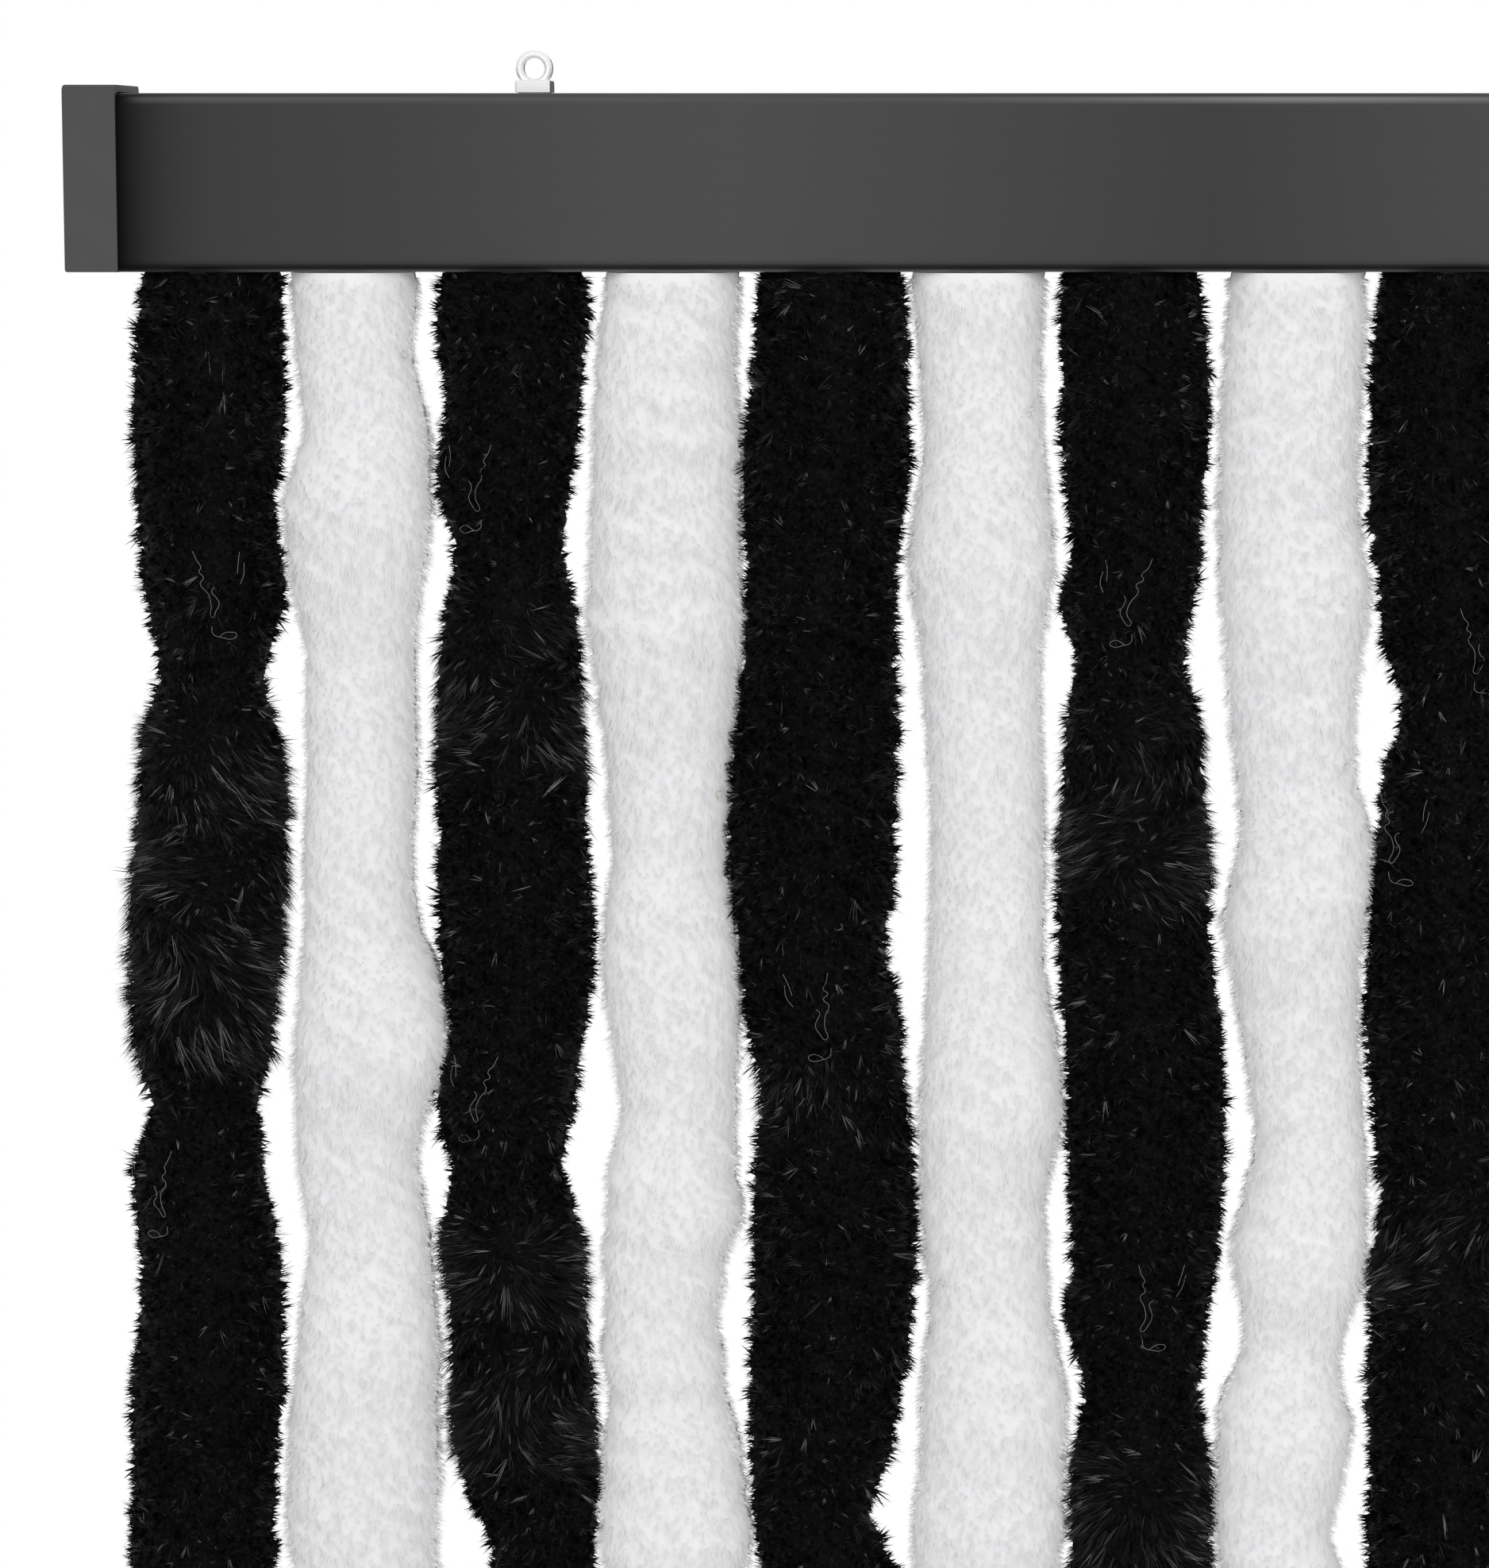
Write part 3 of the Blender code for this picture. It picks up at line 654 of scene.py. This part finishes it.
def tufts_of(strand):
    """Fans of thin fibres that share their roots: points, faces, values, normals and flat layout."""
    pile = strand.pile
    draw = np.random.default_rng(4000 + strand.number)
    drop, turn = tuft_roots(strand, draw)
    down, aside, standing = clumps_of(strand, drop, turn, draw)
    combed = strand.combed(drop)
    hair = draw.random(TUFTS) < pile["hair_share"] * (1 + 1.8 * combed)
    radius = strand.radius(drop, turn) * foot_share(drop)
    tip_radius = radius + pile["fringe"] + pile["ragged"] * standing
    root_radius = radius * (strand.body_share(drop) - ROOT_DEPTH_SHARE)
    out = outward(turn)
    middle = strand.middle(drop)
    root = middle + out * root_radius[:, None]
    fin = fins_of(strand, turn, draw)
    lean = lean_of(strand, drop, turn, hair, fin, draw)
    outwards = np.clip(np.sum(lean * out, -1), STEEPEST_LEAN, 1)
    reach = (tip_radius - root_radius) / outwards * (1 + 0.15 * hair)

    # A fan's base is a short edge, and its tips gather to the middle of its clump
    blade = blades_of(strand, turn, lean, fin, draw)
    width = np.where(hair, pile["hair_width"], pile["tuft_width"] * (1 - 0.45 * combed))
    width = width * draw.uniform(0.7, 1.2, TUFTS) * (1.5 - 0.5 * nearness(drop))
    half_base = blade * width[:, None] / 2
    bases = np.stack([root - half_base, root + half_base], 1)
    gather = pile["gather"] * (1 - 0.6 * combed)
    gathering = (sideways(turn) * (aside * radius)[:, None] - UPWARD * down[:, None]) * gather[:, None]
    ends = tips_of(strand, root, reach, lean, blade, combed, hair, draw) + gathering[:, None]
    trim(strand, ends, middle, tip_radius, draw)

    verts = np.concatenate([bases, ends], 1).reshape(-1, 3)
    first = (np.arange(TUFTS) * (TIPS + 2))[:, None]
    tip = first + 2 + np.arange(TIPS)
    faces = np.stack([first + 0 * tip, first + 1 + 0 * tip, tip], -1).reshape(-1, 3)
    values = tuft_values(hair, combed, fin, draw)
    own = unit(np.cross(blade, lean))
    soft = soft_normals(strand, drop, turn, UNEVENNESS) + 0.25 * own
    normals = np.repeat(unit(np.where(fin[:, None], own + 0.3 * out, soft)), TIPS + 2, 0)
    return verts, faces, values, normals, tuft_layout()


def tuft_layout():
    """A small cell of texture space for each tuft, in which all of its fibres share one triangle."""
    cell = math.sqrt((1 - BODY_STRIP) / TUFTS)
    columns = int((1 - BODY_STRIP) / cell)
    rows = math.ceil(TUFTS / columns)
    order = np.arange(TUFTS)
    low = np.stack([BODY_STRIP + (order % columns) * (1 - BODY_STRIP) / columns, order // columns / rows], -1)
    corners = np.array([(0.1, 0.1), (0.9, 0.1), (0.5, 0.9)]) * ((1 - BODY_STRIP) / columns, 1 / rows)
    return np.repeat(low[:, None] + corners, TIPS, 0)


def mesh_from(name, verts, faces):
    """A mesh of triangles from arrays."""
    data = bpy.data.meshes.new(name)
    data.vertices.add(len(verts))
    data.vertices.foreach_set("co", verts.astype(np.float32).ravel())
    data.loops.add(faces.size)
    data.loops.foreach_set("vertex_index", faces.astype(np.int32).ravel())
    data.polygons.add(len(faces))
    data.polygons.foreach_set("loop_start", np.arange(len(faces), dtype=np.int32) * 3)
    data.polygons.foreach_set("use_smooth", np.ones(len(faces), bool))
    data.update(calc_edges=True)
    return data


def strand_mesh(strand):
    """One mesh of the body and its tufts, with the values that its finish reads."""
    body_verts, body_sides, body_normals, strip, line = body_of(strand)
    verts, faces, values, normals, layout = tufts_of(strand)
    faces = np.concatenate([body_sides, faces + len(body_verts)])
    data = mesh_from(f"pile_{strand.number:02d}", np.concatenate([body_verts, verts]), faces)
    for name, numbers in values.items():
        layer = data.attributes.new(name, "FLOAT", "POINT")
        both = np.concatenate([np.zeros(len(body_verts)), numbers])
        layer.data.foreach_set("value", both.astype(np.float32))
    flat = data.uv_layers.new(name="OFBake")
    flat.uv.foreach_set("vector", np.concatenate([strip, layout]).astype(np.float32).ravel())
    if strand.colour == "white":
        data.normals_split_custom_set_from_vertices(np.concatenate([body_normals, normals]).tolist())
    return data, line


def add_object(name, data, material):
    """A new object of the scene with one finish."""
    made = bpy.data.objects.new(name, data)
    bpy.context.scene.collection.objects.link(made)
    data.materials.append(material)
    return made


def loop_route(side, over):
    """Points across and up along the middle of a strand's core cord, evenly spaced."""
    foot = RAIL_LOW - HOLLOW_DEPTH - 2 * MM
    quarter = np.linspace(0, math.pi / 2, 7)
    left = [(-side, z) for z in np.linspace(foot, over - LOOP_BEND, 14)]
    for q in quarter[1:]:
        left.append((LOOP_BEND - side - LOOP_BEND * math.cos(q), over - LOOP_BEND + LOOP_BEND * math.sin(q)))
    route = np.array(left + [(-x, z) for x, z in reversed(left)])
    run = np.concatenate([[0], np.cumsum(np.linalg.norm(np.diff(route, axis=0), axis=1))])
    even = np.linspace(0, run[-1], LOOP_RINGS)
    return even, np.interp(even, run, route[:, 0]), np.interp(even, run, route[:, 1])


def loop_of(strand, finish):
    """The core cord over the glider's lug: three yarns twisted, on the CAD loop's own route."""
    node = f"strand_loop_{strand.number:02d}"
    low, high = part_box(node)
    radius = (high.y - low.y) / 2
    even, across, upward = loop_route((high.x - low.x) / 2 - radius, high.z - radius)
    way = unit(np.stack([np.gradient(across), 0 * across, np.gradient(upward)], -1))
    beside = np.array([0.0, 1.0, 0.0])
    aside = np.cross(way, beside)
    turns = np.arange(LOOP_SIDES) * math.tau / LOOP_SIDES
    twist = math.tau * even / LOOP_TWIST
    lobes = np.abs(np.cos(1.5 * (turns[None] - twist[:, None])))
    reach = radius * (0.74 + 0.26 * np.sqrt(lobes))
    centre = np.stack([strand.x + across, 0 * across, upward], -1)
    spin = np.cos(turns)[None, :, None] * beside + np.sin(turns)[None, :, None] * aside[:, None]
    points = centre[:, None] + spin * reach[..., None]
    a, b, c, d = cell_corners(LOOP_RINGS, LOOP_SIDES)
    walls = np.concatenate([np.stack([a, b, c], -1), np.stack([a, c, d], -1)])
    data = mesh_from(f"loop_{strand.number:02d}", points.reshape(-1, 3), walls.reshape(-1, 3))
    made = add_object(f"core_loop_{strand.number:02d}", data, finish)
    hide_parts(node)
    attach(made, f"strand_{strand.number:02d}")
    return made


def stray_yarn(strand, finish):
    """Thin stray yarns that lie on a strand: tangles on the black ones and short wisps on the white ones."""
    draw = np.random.default_rng(5000 + strand.number)
    lines = TANGLE if strand.colour == "black" else WISP
    places = [(drop, across, side, False) for drop, across, side in STRAY_YARN.get(strand.number, [])]
    start = SEEN_DROP if strand.number in SEEN_STRANDS else 0
    for drop in np.arange(start + draw.uniform(20, 150), FULL_DROP / MM - 60, STRAY_PITCH):
        low = drop + draw.uniform(-50, 50)
        places.append((low, draw.uniform(-9, 9), draw.choice((-1, 1)), draw.random() < 0.5))
    curve = bpy.data.curves.new(f"stray_yarn_{strand.number:02d}", "CURVE")
    curve.dimensions = "3D"
    curve.bevel_depth = STRAY_THICKNESS / 2
    curve.bevel_resolution = 0
    curve.resolution_u = 4
    for drop, across, side, behind in places:
        for run in lines:
            spline = curve.splines.new("BEZIER")
            spline.bezier_points.add(len(run) - 1)
            for knot, (x, down) in zip(spline.bezier_points, run):
                below = (drop + down) * MM
                aside = (across + side * x + draw.uniform(-0.25, 0.25)) * MM
                reach = float(np.interp(below, strand.fine, strand.radii)) + draw.uniform(-0.3, 0.7) * MM
                aside = max(-0.95 * reach, min(0.95 * reach, aside))
                depth = math.sqrt(reach * reach - aside * aside)
                middle = strand.middle(np.array(below))
                knot.co = (middle[0] + aside, depth if behind else -depth, middle[2])
                knot.handle_left_type = knot.handle_right_type = "AUTO"
    made = add_object(f"stray_yarn_{strand.number:02d}", curve, finish)
    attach(made, f"strand_{strand.number:02d}")
    return made


def new_finish(name):
    """A new material, with its tree and its Principled shader."""
    made = bpy.data.materials.new(name)
    made.use_nodes = True
    tree = made.node_tree
    return made, tree, tree.nodes["Principled BSDF"]


def feed(tree, value, socket):
    """Gives an input its value: another node's output, a colour or a number."""
    if hasattr(value, "is_linked"):
        tree.links.new(value, socket)
    elif isinstance(value, tuple):
        socket.default_value = (*value, 1)
    else:
        socket.default_value = value


def dress(tree, shader, colour, roughness, specular=0.5):
    """Gives a shader its colour, its roughness and how much it mirrors."""
    feed(tree, colour, shader.inputs["Base Color"])
    feed(tree, roughness, shader.inputs["Roughness"])
    feed(tree, specular, shader.inputs["Specular IOR Level"])


def ramp(tree, value, stops):
    """A colour ramp fed by a value."""
    made = tree.nodes.new("ShaderNodeValToRGB")
    elements = made.color_ramp.elements
    elements[0].position, elements[1].position = stops[0][0], stops[-1][0]
    for position, colour in stops[1:-1]:
        elements.new(position)
    for element, (position, colour) in zip(elements, stops):
        element.position = position
        element.color = (*colour, 1)
    tree.links.new(value, made.inputs["Fac"])
    return made.outputs["Color"]


def attribute(tree, name):
    """One of the values that a mesh holds at its points."""
    made = tree.nodes.new("ShaderNodeAttribute")
    made.attribute_name = name
    return made.outputs["Fac"]


def maths(tree, operation, *values):
    """A sum or the like of numbers and sockets."""
    made = tree.nodes.new("ShaderNodeMath")
    made.operation = operation
    for socket, value in zip(made.inputs, values):
        feed(tree, value, socket)
    return made.outputs["Value"]


def noise(tree, scale, detail=3.0, stretch=(1, 1, 1), swirl=0.0):
    """Noise over the object's own coordinates."""
    coordinates = tree.nodes.new("ShaderNodeTexCoord")
    mapping = tree.nodes.new("ShaderNodeMapping")
    mapping.inputs["Scale"].default_value = stretch
    made = tree.nodes.new("ShaderNodeTexNoise")
    made.inputs["Scale"].default_value = scale
    made.inputs["Detail"].default_value = detail
    made.inputs["Distortion"].default_value = swirl
    tree.links.new(coordinates.outputs["Object"], mapping.inputs["Vector"])
    tree.links.new(mapping.outputs["Vector"], made.inputs["Vector"])
    return made.outputs["Fac"]


def mixed(tree, share, first, second):
    """A colour between two others."""
    made = tree.nodes.new("ShaderNodeMix")
    made.data_type = "RGBA"
    for place, value in ((0, share), (6, first), (7, second)):
        feed(tree, value, made.inputs[place])
    return made.outputs[2]


def black_pile():
    """Deep black synthetic pile: painted shade makes its roots dark, and painted glints make a paler fibre here
    and there, more where it is combed.
    """
    made, tree, shader = new_finish("black_pile")
    tone = attribute(tree, "tone")
    # The high tones of both ramps are painted glints on pale fibres, the low tones the pile's own black
    short = ramp(
        tree,
        tone,
        [(0.0, (0.0034, 0.0029, 0.0030)), (0.4, (0.0125, 0.0107, 0.0112)), (0.65, (0.039, 0.0355, 0.036)),
         (0.8, (0.085, 0.080, 0.080)), (1.0, (0.42, 0.41, 0.41))],
    )
    long = ramp(
        tree,
        tone,
        [(0.0, (0.0050, 0.0043, 0.0045)), (0.4, (0.0155, 0.0135, 0.0140)), (0.65, (0.028, 0.0255, 0.026)),
         (0.8, (0.052, 0.048, 0.049)), (1.0, (0.31, 0.30, 0.30))],
    )
    fibre = mixed(tree, attribute(tree, "combing"), short, long)
    # Painted shade makes the roots and the body nearly black, with sparse pale specks as painted glints
    grain = maths(tree, "POWER", noise(tree, 900, 2), 5)
    root = mixed(tree, grain, (0.0010, 0.0008, 0.0008), (0.04, 0.036, 0.037))
    depth = mixed(tree, attribute(tree, "tip"), root, fibre)
    dress(tree, shader, depth, 0.5, 0.03)
    bump(tree, shader, noise(tree, 700, 3), 0.5 * MM, 0.4)
    return made


def white_pile():
    """Soft white pile, a little greyer in slow patches and, as painted shade, in its depth, with fine swirling
    strokes.
    """
    made, tree, shader = new_finish("white_pile")
    strokes = noise(tree, 160, 6, (1, 1, 0.35), 1.6)
    patches = maths(tree, "MULTIPLY_ADD", strokes, 0.5, maths(tree, "MULTIPLY", noise(tree, 60, 2), 0.5))
    # The body, whose tone is 0, comes out greyer than most tufts: painted shade in the pile's depth
    tone = maths(tree, "MULTIPLY_ADD", attribute(tree, "tone"), 0.3, maths(tree, "MULTIPLY", patches, 0.8))
    fibre = ramp(tree, tone, [(0.25, (0.842, 0.837, 0.852)), (0.75, (0.922, 0.918, 0.930))])
    dress(tree, shader, fibre, 0.85, 0.05)
    bump(tree, shader, strokes, 0.8 * MM, 0.15, unturned_normal(tree))
    return made


def plain_yarn(name, colour):
    """Dull spun yarn with a little unevenness in its colour."""
    made, tree, shader = new_finish(name)
    darker = tuple(0.75 * part for part in colour)
    dress(tree, shader, mixed(tree, noise(tree, 900), darker, colour), 0.8, 0.2)
    return made


def make_strands():
    """Every strand with its core cord and stray yarn."""
    piles = {"black": black_pile(), "white": white_pile()}
    loop_finish = plain_yarn("core_yarn", (0.62, 0.60, 0.56))
    grey_yarn = plain_yarn("grey_yarn", (0.24, 0.24, 0.25))
    stray = {"black": grey_yarn, "white": plain_yarn("beige_yarn", (0.80, 0.70, 0.53))}
    for name in STRANDS:
        strand = Strand(name)
        data, line = strand_mesh(strand)
        made = add_object(f"pile_{strand.number:02d}_{strand.colour}", data, piles[strand.colour])
        made.visible_shadow = strand.colour == "black"
        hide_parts(name)
        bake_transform(made)
        others = [loop_of(strand, loop_finish), stray_yarn(strand, stray[strand.colour])]


def part_along(tree, vector, axis):
    """How far a vector goes along one axis."""
    apart = tree.nodes.new("ShaderNodeSeparateXYZ")
    tree.links.new(vector, apart.inputs["Vector"])
    return apart.outputs[axis]


def coordinate(tree, axis, space="Object"):
    """One of the object's own coordinates, in metres, or one of another space."""
    return part_along(tree, tree.nodes.new("ShaderNodeTexCoord").outputs[space], axis)


def between(tree, value, low, high):
    """How far a value has come from low to high, as 0 to 1, smoothly."""
    made = tree.nodes.new("ShaderNodeMapRange")
    made.interpolation_type = "SMOOTHSTEP"
    made.inputs["From Min"].default_value = low
    made.inputs["From Max"].default_value = high
    tree.links.new(value, made.inputs["Value"])
    return made.outputs["Result"]


def scaled(tree, value, factor):
    """A colour or vector multiplied by a number."""
    made = tree.nodes.new("ShaderNodeVectorMath")
    made.operation = "SCALE"
    tree.links.new(value, made.inputs[0])
    tree.links.new(factor, made.inputs["Scale"])
    return made.outputs["Vector"]


def unturned_normal(tree):
    """The pile's own normal, also on the back of a fibre, unless the fibre is a fin."""
    geometry = tree.nodes.new("ShaderNodeNewGeometry")
    lying = maths(tree, "SUBTRACT", 1.0, attribute(tree, "fin"))
    turned = maths(tree, "MULTIPLY", geometry.outputs["Backfacing"], lying)
    side = maths(tree, "MULTIPLY_ADD", turned, -2.0, 1.0)
    return scaled(tree, geometry.outputs["Normal"], side)


def bump(tree, shader, height, distance, strength, normal=None):
    """Fine relief on a shader's surface."""
    made = tree.nodes.new("ShaderNodeBump")
    if normal:
        tree.links.new(normal, made.inputs["Normal"])
    made.inputs["Distance"].default_value = distance
    made.inputs["Strength"].default_value = strength
    tree.links.new(height, made.inputs["Height"])
    tree.links.new(made.outputs["Normal"], shader.inputs["Normal"])


def rail_finish():
    """Anthracite paint with painted light: a broad painted reflection drifting along the rail, painted shade by
    the caps and along the lower edge with a bright painted lip, and a painted highlight on the upper edge.
    """
    made, tree, shader = new_finish("anthracite_rail")
    # Painted shade near the caps' mouths and a broad painted reflection along the rail, from the table
    mouth = -CAP_LOW.x - CAP_WIDTH
    from_cap = maths(tree, "SUBTRACT", mouth, maths(tree, "ABSOLUTE", coordinate(tree, "X")))
    stops = [(distance * MM / mouth, (grey,) * 3) for distance, grey in RAIL_SHADE_AND_REFLECTION]
    painted_shade_and_reflection = ramp(tree, maths(tree, "DIVIDE", from_cap, mouth), stops)
    # Painted shade along the lower edge, turning into a painted highlight on the lip itself
    top_share = max(share for up, share in RAIL_FOOT_SHADE_AND_LIP_HIGHLIGHT)
    foot_end = RAIL_FOOT_SHADE_AND_LIP_HIGHLIGHT[-1][0] * MM
    height = maths(tree, "SUBTRACT", coordinate(tree, "Z"), RAIL_LOW)
    foot_shade_stops = [(up * MM / foot_end, (share / top_share,) * 3) for up, share in RAIL_FOOT_SHADE_AND_LIP_HIGHLIGHT]
    foot = ramp(tree, maths(tree, "DIVIDE", height, foot_end), foot_shade_stops)
    grain = maths(tree, "MULTIPLY_ADD", noise(tree, 60, 4, (0.5, 20, 20)), 0.10, 0.95)
    paint = scaled(tree, painted_shade_and_reflection, maths(tree, "MULTIPLY", maths(tree, "MULTIPLY", foot, top_share), grain))

    # The painted highlight lies along the rounded upper edge, and begins a little way from the caps
    highlight_stops = [(0.5 + across * MM / (2 * mouth), (grey,) * 3) for across, grey in RAIL_PAINTED_HIGHLIGHT]
    painted_highlight = ramp(tree, maths(tree, "MULTIPLY_ADD", coordinate(tree, "X"), 0.5 / mouth, 0.5), highlight_stops)
    below = maths(tree, "SUBTRACT", RAIL_BOX[1].z, coordinate(tree, "Z"))
    rise = between(tree, below, 0.6 * MM, 1.3 * MM)
    fall = between(tree, below, 3.0 * MM, 1.4 * MM)
    band = maths(tree, "MULTIPLY", rise, fall)
    clear = between(tree, from_cap, 1 * MM, 7 * MM)
    edge_highlight = scaled(tree, painted_highlight, maths(tree, "MULTIPLY", band, clear))
    total = tree.nodes.new("ShaderNodeVectorMath")
    total.operation = "ADD"
    tree.links.new(paint, total.inputs[0])
    tree.links.new(edge_highlight, total.inputs[1])
    rough = maths(tree, "MULTIPLY_ADD", noise(tree, 90, 3, (0.4, 12, 12)), 0.10, 0.33)
    dress(tree, shader, total.outputs["Vector"], rough, 0.08)
    bump(tree, shader, noise(tree, 400, 2, (0.05, 1, 1)), 0.02 * MM, 0.3)
    return made


def facing_right(tree):
    """How far a face looks towards the curtain's right, from -1 to 1."""
    return part_along(tree, tree.nodes.new("ShaderNodeNewGeometry").outputs["True Normal"], "X")


def moulded_plastic(name, colour, roughness, specular, inner_shade_share=1.0):
    """Moulded plastic with a fine spark-eroded grain, whose sides towards the middle may carry painted shade.
    """
    made, tree, shader = new_finish(name)
    darker = tuple(0.9 * part for part in colour)
    shaded_inner = tuple(inner_shade_share * part for part in colour)
    side = maths(tree, "SIGN", coordinate(tree, "X"))
    facing_out = maths(tree, "MULTIPLY", side, facing_right(tree))
    # Painted shade on the sides that face the curtain's middle
    inward_shade = between(tree, maths(tree, "MULTIPLY", facing_out, -1.0), 0.5, 0.9)
    plain = mixed(tree, noise(tree, 120), darker, colour)
    rough = maths(tree, "MULTIPLY_ADD", noise(tree, 600), 0.12, roughness - 0.06)
    dress(tree, shader, mixed(tree, inward_shade, plain, shaded_inner), rough, specular)
    bump(tree, shader, noise(tree, 2500, 2), 0.03 * MM, 0.25)
    return made


def hanger_finish():
    """Satin nickel, with painted shade where it faces right, which makes it dark and less metallic there."""
    made, tree, shader = new_finish("satin_nickel")
    # Painted shade on the faces that look right
    right_side_shade = between(tree, facing_right(tree), 0.72, 0.99)
    bright = mixed(tree, noise(tree, 500), (0.84, 0.84, 0.84), (0.94, 0.94, 0.94))
    rough = maths(tree, "MULTIPLY_ADD", noise(tree, 800), 0.10, 0.35)
    dress(tree, shader, mixed(tree, right_side_shade, bright, (0.015, 0.015, 0.015)), rough, 0.03)
    tree.links.new(maths(tree, "MULTIPLY_ADD", right_side_shade, -0.3, 0.3), shader.inputs["Metallic"])
    return made


def finish_frame():
    """Puts the finishes on the CAD nodes that stay."""
    finishes = {
        "head_rail": rail_finish(),
        # The caps' sides towards the middle carry painted shade at a fifth of their colour
        "end_cap": moulded_plastic("cap_plastic_fine", (0.077, 0.077, 0.077), 0.5, 0.12, 0.2),
        "hanger": hanger_finish(),
        "glider": moulded_plastic("glider_plastic_fine", (0.72, 0.72, 0.70), 0.45, 0.4),
    }
    for name, node in frame["nodes"].items():
        for start, finish in finishes.items():
            if name.startswith(start):
                for holder in node.material_slots:
                    holder.material = finish


def world():
    """White behind the object and in its reflections, and a soft sky for its light."""
    made = bpy.data.worlds.new("studio")
    bpy.context.scene.world = made
    made.use_nodes = True
    tree = made.node_tree
    tree.nodes.clear()
    height = maths(tree, "MULTIPLY_ADD", coordinate(tree, "Z", "Generated"), 0.5, 0.5)
    sky = ramp(
        tree,
        height,
        [(0.0, (0.70, 0.70, 0.705)), (0.5, (0.76, 0.76, 0.762)), (1.0, (0.82, 0.82, 0.82))],
    )
    rays = tree.nodes.new("ShaderNodeLightPath")
    seen = maths(tree, "MAXIMUM", rays.outputs["Is Camera Ray"], rays.outputs["Is Glossy Ray"])
    seen = maths(tree, "MAXIMUM", seen, rays.outputs["Is Transmission Ray"])
    colour = mixed(tree, seen, sky, (1.0, 1.0, 1.0))
    background = tree.nodes.new("ShaderNodeBackground")
    output = tree.nodes.new("ShaderNodeOutputWorld")
    tree.links.new(colour, background.inputs["Color"])
    tree.links.new(background.outputs["Background"], output.inputs["Surface"])


def lamp(name, spot, target, size, power):
    """A square soft box that faces a point."""
    made = bpy.data.lights.new(name, "AREA")
    made.size = size
    made.energy = power
    held = bpy.data.objects.new(name, made)
    held.location = spot
    way = Vector(target) - Vector(spot)
    held.rotation_euler = way.to_track_quat("-Z", "Y").to_euler()
    bpy.context.scene.collection.objects.link(held)


def floor():
    """A plain pale floor a little below the strands."""
    mesh = bmesh.new()
    bmesh.ops.create_grid(mesh, x_segments=1, y_segments=1, size=FLOOR_HALF_WIDTH)
    data = bpy.data.meshes.new("floor")
    mesh.to_mesh(data)
    mesh.free()
    made = bpy.data.objects.new("floor", data)
    made.location.z = STRAND_END - FLOOR_GAP
    bpy.context.scene.collection.objects.link(made)
    paint, tree, shader = new_finish("floor_paint")
    dress(tree, shader, (0.88, 0.88, 0.88), 0.8)
    data.materials.append(paint)


Picture().camera()
make_strands()
finish_frame()
world()
floor()
lamp("key", spot=(0.5, -2.4, 0.45), target=(0, 0, -0.3), size=1.4, power=18)
bpy.context.scene.view_settings.view_transform = "Standard"
